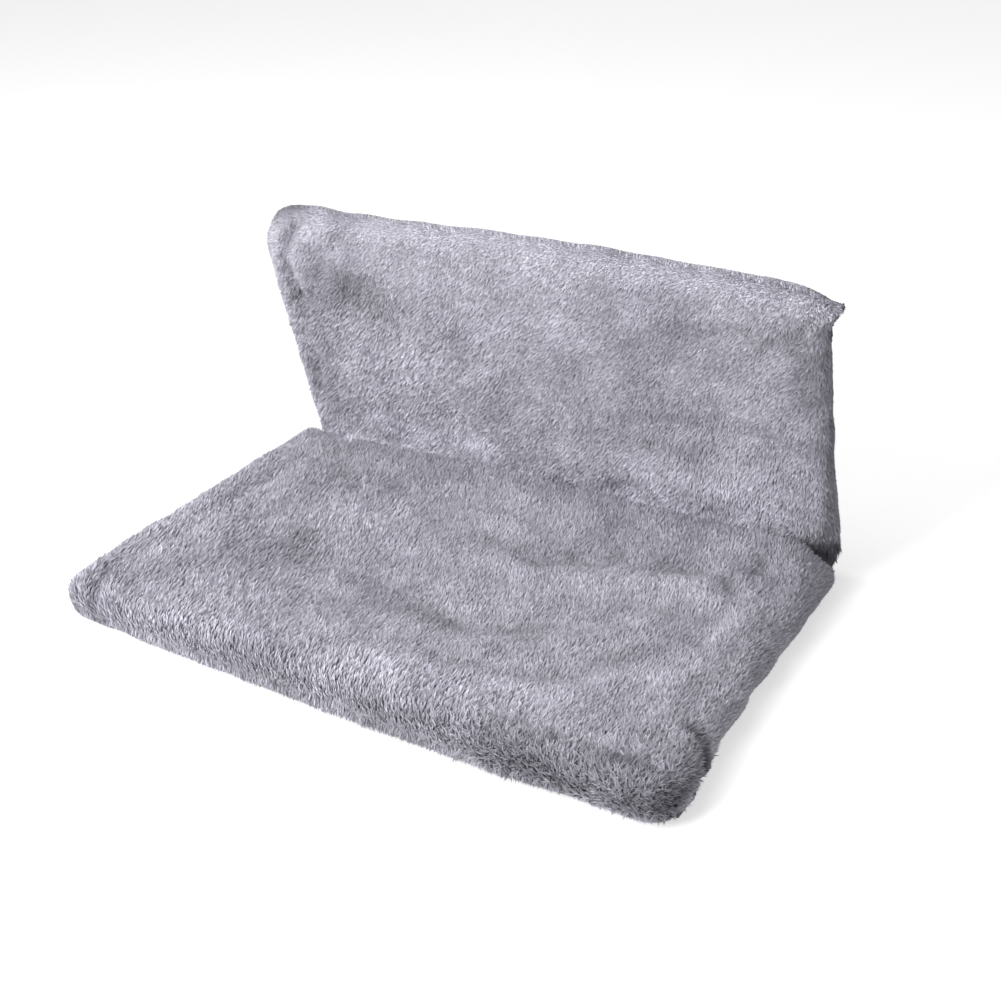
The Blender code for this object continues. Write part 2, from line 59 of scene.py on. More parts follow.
floor_paint = bpy.data.materials.new("white floor")
floor_paint.use_nodes = True
nodes, links = floor_paint.node_tree.nodes, floor_paint.node_tree.links
nodes.clear()
matte = nodes.new("ShaderNodeBsdfDiffuse")
matte.inputs["Color"].default_value = (0.75, 0.75, 0.75, 1)
glow = nodes.new("ShaderNodeEmission")
rays = nodes.new("ShaderNodeLightPath")
seen = nodes.new("ShaderNodeMath")
seen.operation = "MULTIPLY"
seen.inputs[1].default_value = floor_glow
links.new(rays.outputs["Is Camera Ray"], seen.inputs[0])
links.new(seen.outputs[0], glow.inputs["Strength"])
both = nodes.new("ShaderNodeAddShader")
links.new(matte.outputs[0], both.inputs[0])
links.new(glow.outputs[0], both.inputs[1])
paint_out = nodes.new("ShaderNodeOutputMaterial")
links.new(both.outputs[0], paint_out.inputs["Surface"])
floor_mesh.materials.append(floor_paint)

room_light = 0.45
sky = bpy.data.worlds.new("white room")
sky.use_nodes = True
nodes, links = sky.node_tree.nodes, sky.node_tree.links
nodes.clear()
rays = nodes.new("ShaderNodeLightPath")
direct = nodes.new("ShaderNodeMath")
direct.operation = "MAXIMUM"
links.new(rays.outputs["Is Camera Ray"], direct.inputs[0])
links.new(rays.outputs["Is Glossy Ray"], direct.inputs[1])
strength = nodes.new("ShaderNodeMapRange")
strength.inputs["To Min"].default_value = room_light
strength.inputs["To Max"].default_value = 1.0
links.new(direct.outputs[0], strength.inputs["Value"])
room = nodes.new("ShaderNodeBackground")
links.new(strength.outputs[0], room.inputs["Strength"])
room_out = nodes.new("ShaderNodeOutputWorld")
links.new(room.outputs[0], room_out.inputs["Surface"])
bpy.context.scene.world = sky

lit_point = Vector((0, 0, 0.08))
for light_name, place, size, power in (
    ("front light", (-0.72, -1.62, 1.06), 1.0, 43.0),
    ("top light", (-0.45, -0.30, 1.75), 1.1, 11.5),
):
    lamp = bpy.data.lights.new(light_name, "AREA")
    lamp.shape = "SQUARE"
    lamp.size = size
    lamp.energy = power
    holder = bpy.data.objects.new(light_name, lamp)
    holder.location = place
    holder.rotation_euler = (lit_point - Vector(place)).to_track_quat("-Z", "Y").to_euler()
    bpy.context.collection.objects.link(holder)

view_turn, view_drop, view_roll = math.radians(34.67), math.radians(28.60), math.radians(-3.18)
view_distance = 0.939
looked_at = Vector((0, -0.0282, 0.076))
back_to_lens = Vector((
    math.sin(view_turn) * math.cos(view_drop),
    -math.cos(view_turn) * math.cos(view_drop),
    math.sin(view_drop),
))
level = Vector((math.cos(view_turn), math.sin(view_turn), 0))
upright = back_to_lens.cross(level)
right = math.cos(view_roll) * level + math.sin(view_roll) * upright
up = math.cos(view_roll) * upright - math.sin(view_roll) * level
lens = bpy.data.cameras.new("camera")
lens.sensor_width = 36
lens.lens = 51.45
lens.shift_x = 0.0634
lens.shift_y = 0.0071
camera = bpy.data.objects.new("camera", lens)
camera.matrix_world = Matrix((right, up, back_to_lens)).transposed().to_4x4()
camera.location = looked_at + view_distance * back_to_lens
bpy.context.collection.objects.link(camera)
bpy.context.scene.camera = camera
bpy.context.scene.view_settings.view_transform = "Standard"


# Seat frame, back frame, cross bar, hook bar and hooks
# Bent 12 mm steel tubes, flat steel bars with bent ends and hooks of flat steel, all in one
# white powder coat. The coat has a fine orange-peel skin and is a little thicker in places.
def new_finish(name):
    """A new material, its nodes, its links, its skin and the places on the piece."""
    made = bpy.data.materials.new(name)
    made.use_nodes = True
    nodes, links = made.node_tree.nodes, made.node_tree.links
    place = nodes.new("ShaderNodeTexCoord").outputs["Object"]
    return made, nodes, links, nodes["Principled BSDF"], place


def patchy(nodes, links, place, scale, detail=2):
    """An amount that varies over the piece in patches."""
    noise = nodes.new("ShaderNodeTexNoise")
    noise.inputs["Scale"].default_value = scale
    noise.inputs["Detail"].default_value = detail
    links.new(place, noise.inputs["Vector"])
    return noise.outputs["Fac"]


def two_colours(nodes, links, amount, dark, light, low, high):
    """From the dark colour to the light one as the amount goes from low to high."""
    ramp = nodes.new("ShaderNodeValToRGB")
    for end, position, colour in zip(ramp.color_ramp.elements, (low, high), (dark, light)):
        end.position = position
        end.color = (*colour, 1)
    links.new(amount, ramp.inputs["Fac"])
    return ramp.outputs["Color"]


def between(nodes, links, amount, low, high):
    """The amount of a patchy noise, brought between these two values."""
    made = nodes.new("ShaderNodeMapRange")
    for side, value in (("From Min", 0.3), ("From Max", 0.7), ("To Min", low), ("To Max", high)):
        made.inputs[side].default_value = value
    links.new(amount, made.inputs["Value"])
    return made.outputs["Result"]


def roughen(nodes, links, skin, height, depth):
    """Raises the skin by this depth where the height is large."""
    bump = nodes.new("ShaderNodeBump")
    bump.inputs["Distance"].default_value = depth
    links.new(height, bump.inputs["Height"])
    links.new(bump.outputs["Normal"], skin.inputs["Normal"])


def mottled(name, dark, light, patch, roughness, metallic, grain, depth):
    """A finish that varies: two colours in patches, two roughnesses, and a grain in its skin."""
    made, nodes, links, skin, place = new_finish(name)
    skin.inputs["Metallic"].default_value = metallic
    patches = patchy(nodes, links, place, 1 / patch, 4)
    colours = two_colours(nodes, links, patches, dark, light, 0.35, 0.65)
    links.new(colours, skin.inputs["Base Color"])
    links.new(between(nodes, links, patches, *roughness), skin.inputs["Roughness"])
    roughen(nodes, links, skin, patchy(nodes, links, place, 1 / grain), depth)
    return made


def finish_nodes(names, finish):
    """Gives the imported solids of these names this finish."""
    for name in names:
        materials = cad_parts[name].data.materials
        materials.clear()
        materials.append(finish)


powder_coat = mottled(
    "white powder coat", (0.74, 0.74, 0.72), (0.82, 0.82, 0.81), 0.012, (0.38, 0.52), 0.0, 0.0009, 0.00012
)
finish_nodes(
    ["seat_frame", "back_frame", "cross_bar", "hook_bar", "hook_left", "hook_right"], powder_coat
)

# Hook sleeves
# Soft grey vinyl, dipped over the hooks so that they don't scratch the radiator. It has a dull,
# slightly uneven skin.
soft_vinyl = mottled(
    "soft grey vinyl", (0.155, 0.155, 0.165), (0.20, 0.20, 0.21), 0.008, (0.60, 0.78), 0.0, 0.0006, 0.0001
)
finish_nodes(["hook_sleeve_left", "hook_sleeve_right"], soft_vinyl)

# Tube end caps
# Moulded black plastic plugs, pressed into the open ends of the rails and of the feet. Each has a
# stem that grips inside the tube and a thin rim that stays outside it.
cap_plastic = mottled(
    "black moulded plastic",
    (0.024, 0.024, 0.025), (0.040, 0.040, 0.041), 0.006, (0.42, 0.58), 0.0, 0.0004, 0.00006,
)
finish_nodes(["rail_cap_left", "rail_cap_right", "foot_cap_left", "foot_cap_right"], cap_plastic)

# Screws and nuts
# Zinc plated steel: four screws join the seat frame to the back frame, two hold the hook bar,
# and two with nuts hold each hook.
zinc = mottled(
    "zinc plating", (0.52, 0.53, 0.54), (0.66, 0.66, 0.66), 0.003, (0.26, 0.42), 1.0, 0.0003, 0.00003
)
finish_nodes([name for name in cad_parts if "_screw_" in name or "_nut_" in name], zinc)

# Seat cover
# The seat's half of one plush cover: its sides roll right round the front bar and the side rails,
# and its middle hangs between them with soft folds, because the cloth is cut a little large.
rim_height = 0.0145
crease_y = 0.1084
seat_half = 0.212
seat_length = 0.2634
seat_corner = 0.013
seat_lap = 0.011
seat_rim = 0.0132
seat_thickness = 0.0035
seat_sag = 0.009
cloth_step = 0.0025
lowest_cloth = 0.0008
fold_wander, wander_size = 0.0040, 0.060
seat_waver, seat_ripple, ripple_size, seat_tuck = 0.0009, 0.0007, 0.035, 0.0113
# The seam allowance in the crease pushes the seat's cloth up: by how much, at these places along it.
crease_places = (-0.185, -0.150, -0.100, -0.010, 0.110, 0.150, 0.194, 0.204, 0.214)
crease_heights = (0, 0.0030, 0.0050, 0.0080, 0.0065, 0.0080, 0.0100, 0.0060, 0)
# Each fold: the line that it follows over the seat, half its width, and how far it stands up.
front_fold = ((0.053, -0.111), (0.100, -0.106), (0.135, -0.089), (0.166, -0.030))
seat_folds = (
    (((-0.197, -0.150), (-0.194, -0.060), (-0.190, 0.070)), 0.0060, -0.0016),
    (((-0.189, -0.168), (-0.193, -0.158), (-0.199, -0.137)), 0.0040, -0.0034),
    (((-0.075, -0.058), (-0.013, -0.056), (0.045, -0.071), (0.090, -0.046), (0.165, 0.008)), 0.0100, -0.0020),
    (front_fold, 0.0075, -0.0028),
    (((0.070, -0.082), (0.125, -0.052), (0.150, -0.012)), 0.0080, 0.0022),
    (((-0.006, 0.032), (0.057, 0.020), (0.106, 0.046), (0.148, 0.054)), 0.0080, -0.0032),
    (((0.030, 0.002), (0.100, 0.012), (0.157, 0.034), (0.190, 0.060)), 0.0090, 0.0026),
    (((0.176, 0.096), (0.187, 0.084), (0.190, 0.070)), 0.0080, -0.0034),
    (((0.176, 0.046), (0.186, 0.028), (0.187, -0.020)), 0.0060, -0.0026),
    (((0.196, -0.120), (0.200, -0.050), (0.199, 0.060)), 0.0070, 0.0016),
    (((-0.160, 0.070), (-0.145, 0.058), (-0.120, 0.044)), 0.0090, -0.0024),
)


def waves(x, y, size, seed):
    """A smooth, irregular surface between about -1 and 1, with bumps of this size."""
    numbers = np.random.default_rng(seed)
    total = np.zeros_like(x)
    for _ in range(9):
        heading = numbers.uniform(0, 2 * math.pi)
        pitch = 2 * math.pi / (size * numbers.uniform(0.7, 1.6))
        phase = numbers.uniform(0, 2 * math.pi)
        total = total + np.sin(pitch * (x * math.cos(heading) + y * math.sin(heading)) + phase)
    return total / 4.2


def ease(value, low, high):
    """From 0 to 1 as the value goes from low to high, with a soft start and end."""
    share = np.clip((value - low) / (high - low), 0, 1)
    return share * share * (3 - 2 * share)


def hump(value, width):
    """1 where the value is 0, and less and less over this width on both sides."""
    return np.exp(-((value / width) ** 2))


def near_line(x, y, line, width):
    """1 on a line of several points, and less and less over this width beside it."""
    best = np.full_like(x, 1e9)
    for (x0, y0), (x1, y1) in zip(line, line[1:]):
        run = ((x - x0) * (x1 - x0) + (y - y0) * (y1 - y0)) / ((x1 - x0) ** 2 + (y1 - y0) ** 2)
        run = np.clip(run, 0, 1)
        best = np.minimum(best, (x - x0 - run * (x1 - x0)) ** 2 + (y - y0 - run * (y1 - y0)) ** 2)
    return np.exp(-best / width**2)


def seam_line(z):
    """Where the seam of the front right corner runs on the side, from the ground up."""
    return np.interp(z, (0.003, 0.008, 0.014, 0.020, 0.027), (-0.149, -0.133, -0.122, -0.115, -0.107))


def rolled(a, b, half_width, length, corner, radius):
    """Where the points of a flat cloth lie once its edges are rolled round the rim tubes."""
    inner_x = np.clip(a, corner - half_width, half_width - corner)
    inner_y = np.minimum(b, length - corner)
    across, along = np.abs(a - inner_x), b - inner_y
    beyond = np.maximum(across, along)
    ratio = np.minimum(across, along) / np.maximum(beyond, 1e-9)
    direction = np.where(along <= across, math.pi / 4 * ratio, math.pi / 2 - math.pi / 4 * ratio)
    turn = np.clip((beyond - corner) / radius, 0, math.pi)
    lap = np.maximum(0, beyond - corner - math.pi * radius)
    out = np.where(beyond < corner, beyond, corner + radius * np.sin(turn) - lap)
    x = inner_x + np.sign(a) * out * np.cos(direction)
    y = inner_y + out * np.sin(direction)
    return x, y, radius * np.cos(turn), turn, direction, inner_y


def flat_grid(half_width, length, wrap):
    """The points of a flat cloth, which wraps this far past its panel."""
    half, end = half_width + wrap, length + wrap
    return np.meshgrid(
        np.linspace(-half_width - wrap, half, 2 * round(half / cloth_step) + 1),
        np.linspace(0, end, round(end / cloth_step) + 1),
    )


def normals_of(points):
    """Unit normals of a grid of points."""
    found = np.cross(np.gradient(points, axis=1), np.gradient(points, axis=0))
    return found / np.maximum(np.linalg.norm(found, axis=2, keepdims=True), 1e-12)


def facing(points, way):
    """The grid, turned over where its middle doesn't face this way."""
    middle = normals_of(points)[points.shape[0] // 2, points.shape[1] // 2]
    return points if np.dot(middle, way) > 0 else points[:, ::-1]


def added(name, mesh, finish):
    """Puts a finished mesh on the bed as a piece of its own."""
    mesh.materials.append(finish)
    piece = bpy.data.objects.new(name, mesh)
    bpy.context.collection.objects.link(piece)
    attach(piece, "root")
    return piece


def grid_piece(name, points, thickness, finish):
    """A closed sheet of cloth: the grid is its outer face, and it has this thickness inwards."""
    rows, columns = points.shape[:2]
    mesh = bpy.data.meshes.new(name)
    corner = (np.arange(rows - 1)[:, None] * columns + np.arange(columns - 1)[None, :]).ravel()
    quads = np.stack([corner, corner + 1, corner + columns + 1, corner + columns], axis=1)
    mesh.from_pydata(points.reshape(-1, 3).tolist(), [], quads.tolist())
    mesh.shade_smooth()
    piece = added(name, mesh, finish)
    depth = piece.modifiers.new("cloth thickness", "SOLIDIFY")
    depth.thickness = thickness
    depth.offset = -1
    return piece


def plush_finish(name, dark, light, tufts):
    """Grey plush: two greys in soft patches, darkened by the tufts' tone and painted shade, with a sheen."""
    made, nodes, links, skin, place = new_finish(name)
    skin.inputs["Roughness"].default_value = 0.9
    skin.inputs["Specular IOR Level"].default_value = 0.25
    skin.inputs["Sheen Weight"].default_value = 0.15
    skin.inputs["Sheen Roughness"].default_value = 0.5
    greys = two_colours(nodes, links, patchy(nodes, links, place, 22, 4), dark, light, 0.36, 0.64)
    shade = nodes.new("ShaderNodeMix")
    shade.data_type = "RGBA"
    shade.blend_type = "MULTIPLY"
    shade.inputs["Factor"].default_value = 1
    links.new(greys, shade.inputs["A"])
    if tufts:
        fibre = nodes.new("ShaderNodeAttribute")
        fibre.attribute_name = "fibre tone and painted shade"
        links.new(fibre.outputs["Fac"], shade.inputs["B"])
    else:
        fibre = patchy(nodes, links, place, 700)
        links.new(between(nodes, links, fibre, 0.65, 1.1), shade.inputs["B"])
        roughen(nodes, links, skin, fibre, 0.0006)
    links.new(shade.outputs["Result"], skin.inputs["Base Color"])
    return made


# The backing under the tufts has darker greys than the tufts: painted shade in the gaps between them.
plush_backing_painted_dark = plush_finish("grey plush cloth", (0.28, 0.27, 0.315), (0.36, 0.35, 0.40), tufts=False)

seat_wrap = math.pi * seat_rim + seat_lap
a, b = flat_grid(seat_half, seat_length, seat_wrap)
x, y, height, turn, direction, inner_y = rolled(a, b, seat_half, seat_length, seat_corner, seat_rim)
share_x, share_y = x / seat_half, y / seat_length
hang = np.sin(math.pi * np.clip((share_y - 0.20) / 0.80, 0, 1)) ** 2 * np.clip(1 - share_x**2, 0, 1) ** 2
# The sides reach a little further back than the middle, beside the back cover.
side_tuck = seat_tuck * ease(turn, 0.52, 1.57) * (1 - inner_y / (seat_length - seat_corner))
y = crease_y - y + side_tuck
lift = -seat_sag * hang + seat_waver * waves(x, y, 0.055, 3)
wander_x = x + fold_wander * waves(x, y, wander_size, 7)
wander_y = y + fold_wander * waves(x, y, wander_size, 8)
uneven = np.clip(1 + 0.55 * waves(x, y, 0.045, 9), 0.15, 1.9)
for line, width, rise in seat_folds:
    lift = lift + 1.15 * rise * uneven * near_line(wander_x, wander_y, line, 1.3 * width)
lift = lift * (1 - ease(turn, 0, 1.2)) * ease(b, 0, 0.03)
z = rim_height + height + lift
# The cloth hangs down in front of the bar instead of rolling under it at once: by how much.
hang_places = (-0.200, -0.100, 0.000, 0.030, 0.050, 0.100, 0.140, 0.175, 0.200, 0.212)
hang_depths = (0.0008, 0.0028, 0.0034, 0.0044, 0.0040, 0.0025, 0.0020, 0.0000, -0.0025, -0.0010)
low_roll = hump(turn - 2.5, 0.45)
y = y - np.interp(x, hang_places, hang_depths) * low_roll * np.sin(direction) ** 2
# The front right corner is a little too big for the frame: it bags outward in front of a seam
# that runs down the side, and hangs straight down to the ground there.
ahead = seam_line(z) - y
bag = ease(ahead, 0.0005, 0.0055) * ease(x, 0.170, 0.214) * np.sin(turn) ** 0.6
seam_groove = hump(ahead, 0.0038) * ease(x, 0.205, 0.215)
behind = hump(ahead + 0.016, 0.016) + 0.5 * hump(ahead + 0.055, 0.030)
behind = behind + 0.6 * hump(ahead + 0.006, 0.0035)
square = hump(direction - 0.60, 0.36) * (x > 0)
bag_reach, behind_reach, groove_depth, square_reach, hang_reach = 0.0062, 0.0045, 0.0080, 0.0020, 0.0060
corner_hang = hang_reach * hump(turn - 2.60, 0.42) * ease(ahead, -0.010, 0.002) * ease(x, 0.190, 0.208)
beside_seam = behind_reach * behind * ease(x, 0.205, 0.215) - groove_depth * seam_groove
side_out = bag_reach * bag + beside_seam * np.sin(turn)
x = x + (side_out + corner_hang + square_reach * square * np.sin(turn)) * np.cos(direction)
# The rear right corner is drawn in and forward, beside the foot of the back cover.
rear_inward, rear_forward, rear_round = 0.0035, 0.0070, 0.0050
bag_forward, square_forward, bag_rise, groove_fall = 0.0010, 0.0024, 0.0020, 0.0012
x = x - rear_inward * ease(x, 0.17, 0.21) * ease(y, 0.05, 0.10) * ease(z, 0.008, 0.022)
y = y - rear_forward * ease(x, 0.196, 0.212) * ease(y, 0.090, 0.119) * ease(z, 0.006, 0.022)
y = y - (bag_forward * bag + square_forward * square) * np.sin(direction) * ease(turn, 0.6, 1.5)
x = x - rear_round * ease(x, 0.200, 0.212) * ease(y, 0.100, 0.121) ** 2
z = z + bag_rise * bag * (1 - ease(turn, 0.8, 1.8)) - groove_fall * seam_groove
bulge_out, bulge_rise = 0.0019, 0.0010
left_bulge = hump(y + 0.088, 0.022) * ease(-x, 0.195, 0.215)
x = x - bulge_out * left_bulge * np.sin(turn)
z = z + bulge_rise * left_bulge * (1 - ease(turn, 0.8, 1.8))
swell = np.interp(x, crease_places, crease_heights) * ease(y + 0.004 * waves(x, y, 0.06, 12), 0.050, 0.106)
z = z + swell * (1 - ease(turn, 1.0, 1.6))
seat_points = facing(np.stack([x, y, z], axis=2), (0, 0, 1))
ripple = seat_ripple * waves(seat_points[..., 0] + seat_points[..., 2], seat_points[..., 1], ripple_size, 5)
seat_points = seat_points + normals_of(seat_points) * ripple[..., None]
seat_points[..., 2] = np.maximum(seat_points[..., 2], lowest_cloth)
seat_cover = grid_piece("seat_cover_cloth", seat_points, seat_thickness, plush_backing_painted_dark)
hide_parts("seat_cover")


# Plush of the seat
# The pile of the seat's cloth: soft tufts of fine fibre, 3 to 5 mm long, which all lean to the
# rear and swirl a little. They are painted darker at the root, as the shade between them, and paler at the
# tip.
tuft_half_width = 0.00070
tuft_root_depth = 0.0003
lowest_fibre = 0.0003
# Each patch: the line that it follows, half its width, and how much paler it looks. Some are nap
# brushed another way; the rest are painted shade in fold grooves, on the front and by the left corner,
# and painted light in the crease, on ridges and along the lit left rim.
seat_nap_and_painted_light = (
    (((-0.130, -0.040), (-0.110, -0.038)), 0.030, -0.15),
    (((0.000, -0.040), (0.150, -0.030)), 0.090, -0.04),
    (((-0.188, -0.170), (-0.193, -0.158), (-0.198, -0.140)), 0.0045, -0.34),
    (((-0.168, 0.080), (-0.129, 0.046)), 0.020, -0.20),
    (((-0.095, 0.010), (-0.036, 0.008), (0.024, 0.010)), 0.026, 0.08),
    (((-0.062, -0.040), (-0.045, -0.020)), 0.016, 0.10),
    (((-0.130, -0.114), (-0.080, -0.112), (-0.035, -0.118)), 0.018, 0.14),
    (((0.060, -0.134), (0.130, -0.118), (0.176, -0.074)), 0.013, 0.06),
    (((-0.060, -0.172), (0.012, -0.171)), 0.009, -0.11),
    (((0.028, -0.168), (0.044, -0.171)), 0.009, -0.10),
    (((0.200, -0.130), (0.211, -0.121)), 0.011, -0.14),
    (((0.030, -0.016), (0.120, -0.030)), 0.026, -0.06),
    (((0.030, -0.144), (0.085, -0.137), (0.140, -0.118)), 0.012, 0.16),
    (((0.004, -0.068), (0.040, -0.072)), 0.009, -0.12),
    (((0.022, 0.028), (0.040, 0.024)), 0.012, -0.12),
    (((0.110, -0.014), (0.150, 0.000)), 0.008, -0.10),
    (((0.070, -0.092), (0.110, -0.082)), 0.010, -0.10),
    (((0.150, -0.060), (0.170, -0.040)), 0.010, -0.08),
    (((0.203, -0.095), (0.208, 0.020)), 0.008, -0.12),
    (((-0.180, -0.166), (-0.050, -0.146), (0.038, -0.132), (0.130, -0.110), (0.190, -0.052)), 0.016, 0.10),
    (((-0.060, -0.059), (-0.013, -0.057), (0.014, -0.064), (0.050, -0.073), (0.090, -0.048)), 0.008, -0.14),
    (((-0.100, -0.074), (-0.045, -0.084), (0.010, -0.096)), 0.011, 0.15),
    (((0.196, -0.152), (0.212, -0.140)), 0.009, -0.22),
    (((-0.120, 0.105), (0.000, 0.105), (0.176, 0.105)), 0.007, 0.12),
    (front_fold, 0.008, -0.12),
    (((0.000, 0.030), (0.057, 0.020), (0.106, 0.048), (0.150, 0.054)), 0.009, -0.17),
    (((0.120, 0.020), (0.157, 0.034)), 0.009, 0.13),
    (((0.192, -0.018), (0.192, 0.004)), 0.012, 0.14),
    (((0.187, 0.090), (0.187, 0.080)), 0.010, -0.20),
    (((-0.215, -0.150), (-0.212, -0.060), (-0.210, 0.070)), 0.006, 0.12),
)


def alike(amount):
    """The same amount all over a cloth."""
    return lambda x, y, z: amount + 0 * x


def pile(name, points, spacing, length, face, nap, curl, paleness, finish, seed, strokes=alike(1)):
    """Tufts all over a grid of cloth: each is one thin blade that leans over.

    nap(x, y, z, dice) is the angle of their lean from the cloth's length, curl(x, y, z) says how
    far they turn out of it, and paleness(x, y, z) how pale they are, painted light included.
    strokes(x, y, z) is more than 1 where they are long with painted shade between them, and less where they
    are short and even.
    Where the cloth turns away from the panel's face, they are pressed and shorter.
    """
    numbers = np.random.default_rng(seed)
    p00, p01, p10, p11 = points[:-1, :-1], points[:-1, 1:], points[1:, :-1], points[1:, 1:]
    area = np.linalg.norm(np.cross(p11 - p00, p10 - p01), axis=2).ravel() / 2
    # Fewer tufts where the cloth is turned under and nobody sees them.
    outside = ease((normals_of(points)[:-1, :-1] @ np.array(face)).ravel(), -0.75, -0.35)
    total = np.cumsum(area * (0.45 + 0.55 * outside))
    count = int(total[-1] / spacing**2)
    drawn = (np.arange(count) + numbers.uniform(0, 1, count)) * total[-1] / count
    cell = np.minimum(np.searchsorted(total, drawn), len(area) - 1)
    s, t = numbers.uniform(0, 1, (2, count, 1))

    def spread(grid):
        at = [g.reshape(-1, 3)[cell] for g in (grid[:-1, :-1], grid[:-1, 1:], grid[1:, :-1], grid[1:, 1:])]
        return (at[0] * (1 - s) + at[1] * s) * (1 - t) + (at[2] * (1 - s) + at[3] * s) * t

    def unit(v):
        return v / np.maximum(np.linalg.norm(v, axis=1, keepdims=True), 1e-12)

    def vary(middle, spread_out, low, high):
        return np.clip(numbers.normal(middle, spread_out, count), low, high)[:, None]

    root = spread(points)
    normal = unit(spread(normals_of(points)))
    lengthwise = unit(spread(np.gradient(points, axis=0)))
    crosswise = unit(np.cross(lengthwise, normal))
    # The tufts of a quarter of a cell make a lock: they share their lean, and their tips meet.
    lock = 4 * cell + 2 * (s[:, 0] > 0.5) + (t[:, 0] > 0.5)
    locks = 4 * len(area)
    lock_dice = numbers.uniform(0, 1, locks)
    lock_turn, lock_slope, lock_tone = numbers.normal(0, 1, (3, locks))
    quarters = [
        (p00 * (1 - ls) + p01 * ls) * (1 - lt) + (p10 * (1 - ls) + p11 * ls) * lt
        for ls in (0.25, 0.75) for lt in (0.25, 0.75)
    ]
    lock_place = np.stack(quarters, axis=2).reshape(-1, 3) + numbers.normal(0, 0.0004, (locks, 3))
    x, y, z = root.T
    loose, marked = curl(x, y, z), strokes(x, y, z)
    across, along = x + 0.6 * z, y - 0.6 * z
    swirl = sum(
        turned * waves(across, along, wave, seed + step)
        for step, (wave, turned) in enumerate(((0.075, 0.16), (0.024, 0.12)))
    )
    own_turn = 1.3 * lock_turn[lock] + 0.5 * numbers.normal(0, 1, count)
    angle = nap(x, y, z, lock_dice[lock]) + swirl + loose * own_turn
    lean = crosswise * np.sin(angle)[:, None] + lengthwise * np.cos(angle)[:, None]
    side = np.cross(lean, normal)
    away = -normal @ np.array(face)
    size = length * (1 + 0.6 * loose) * (0.20 + 0.80 * marked) * (1 - 0.55 * ease(away, -0.1, 0.6))
    size = size[:, None] * vary(1, 0.16, 0.6, 1.4)
    slope = 1.08 + 0.10 * lock_slope[lock] - 0.30 * np.clip(loose - 0.2, 0, 1)
    slope = slope - 0.50 * np.clip(1 - marked, 0, 1)
    slope = slope + 0.45 * ease(away, -0.30, 0.20) * (1 - loose)
    slope = np.clip(slope, 0.55, 1.42)[:, None]
    inward = lock_place[lock] - root
    inward = inward - normal * np.sum(inward * normal, axis=1, keepdims=True)
    tip = root + size * (normal * np.cos(slope) + lean * np.sin(slope)) + inward * 0.70
    root = root - normal * tuft_root_depth
    half = side * (tuft_half_width * vary(1, 0.20, 0.5, 1.6)) * (0.8 + 0.2 * marked)[:, None]
    corners = np.stack([root - half, root + half, tip], axis=1)
    corners[..., 2] = np.maximum(corners[..., 2], lowest_fibre)
    mesh = bpy.data.meshes.new(name)
    mesh.vertices.add(count * 3)
    mesh.vertices.foreach_set("co", corners.ravel())
    mesh.loops.add(count * 3)
    mesh.loops.foreach_set("vertex_index", np.arange(count * 3))
    mesh.polygons.add(count)
    mesh.polygons.foreach_set("loop_start", np.arange(count) * 3)
    mesh.update(calc_edges=True)
    tone = paleness(x, y, z) + sum(
        amount * waves(across, along, wave, seed + 5 + step)
        for step, (wave, amount) in enumerate(((0.045, 0.05), (0.017, 0.06), (0.0065, 0.05)))
    )
    tone = tone * (1 + (0.15 + 0.28 * np.clip(marked - 1, 0, 1)) * np.clip(lock_tone[lock], -2, 2))
    # Long strokes are made paler overall, to make up for their painted darker roots.
    tone = tone * (1 + 0.12 * np.clip(marked - 1, 0, 1))
    # Painted shade between the tufts: each is darker at its root, more so where the strokes are long, and
    # paler at its tip.
    painted_root_shade = np.clip(1 - 0.49 * marked, 0.26, 0.85)
    ends = np.stack([painted_root_shade, painted_root_shade, 1.23 + 0 * marked], axis=1)
    shades = vary(1, 0.08, 0.6, 1.5) * tone[:, None] * ends
    mesh.attributes.new("fibre tone and painted shade", "FLOAT", "POINT").data.foreach_set("value", shades.ravel())
    tiles = math.ceil(math.sqrt(count))
    u = ((np.arange(count) % tiles)[:, None] + np.array([[0.1, 0.9, 0.5]])) / tiles
    v = ((np.arange(count) // tiles)[:, None] + np.array([[0.1, 0.1, 0.9]])) / tiles
    mesh.uv_layers.new(name="OFBake").data.foreach_set("uv", np.stack([u, v], axis=2).ravel())
    mesh.polygons.foreach_set("use_smooth", [True] * count)
    lock_tilt = np.clip(numbers.normal(0, 1, (locks, 2)), -2, 2)[lock]
    soft = normal + 0.14 * lean * lock_tilt[:, :1] + 0.20 * side * lock_tilt[:, 1:]
    mesh.normals_split_custom_set_from_vertices(np.repeat(unit(soft), 3, axis=0))
    return added(name, mesh, finish)


def seat_curl(x, y, z):
    """The tufts stand more loosely round the front right corner, as far as its seam."""
    loose = near_line(x, y, ((0.120, -0.175), (0.222, -0.168), (0.226, -0.120)), 0.034)
    loose = loose * (1 - (1 - ease(seam_line(z) - y, -0.001, 0.004)) * ease(x, 0.195, 0.212))
    return 0.14 + 0.55 * loose * ease(z, 0.002, 0.009)


def seat_strokes(x, y, z):
    """Long strokes on the left and along the front, and an even pile in the middle of the rear."""
    left = ease(-x, 0.020, 0.120) * ease(-y, -0.090, -0.050)
    front = ease(-y, 0.100, 0.150) * (1 - 0.5 * ease(x, 0.150, 0.190))
    rear = ease(x, -0.080, 0.000) * ease(y, -0.060, 0.020)
    return 1 + 0.45 * np.maximum(left, front) - 0.12 * rear


def seat_nap(x, y, z, dice):
    """Towards the rear, but down the lower half of the front."""
    low = ease(0.013 - z + 0.003 * waves(x, y, 0.02, 19), -0.003, 0.003) * (y < -0.150)
    return np.where(dice < low, 0.0, math.pi)
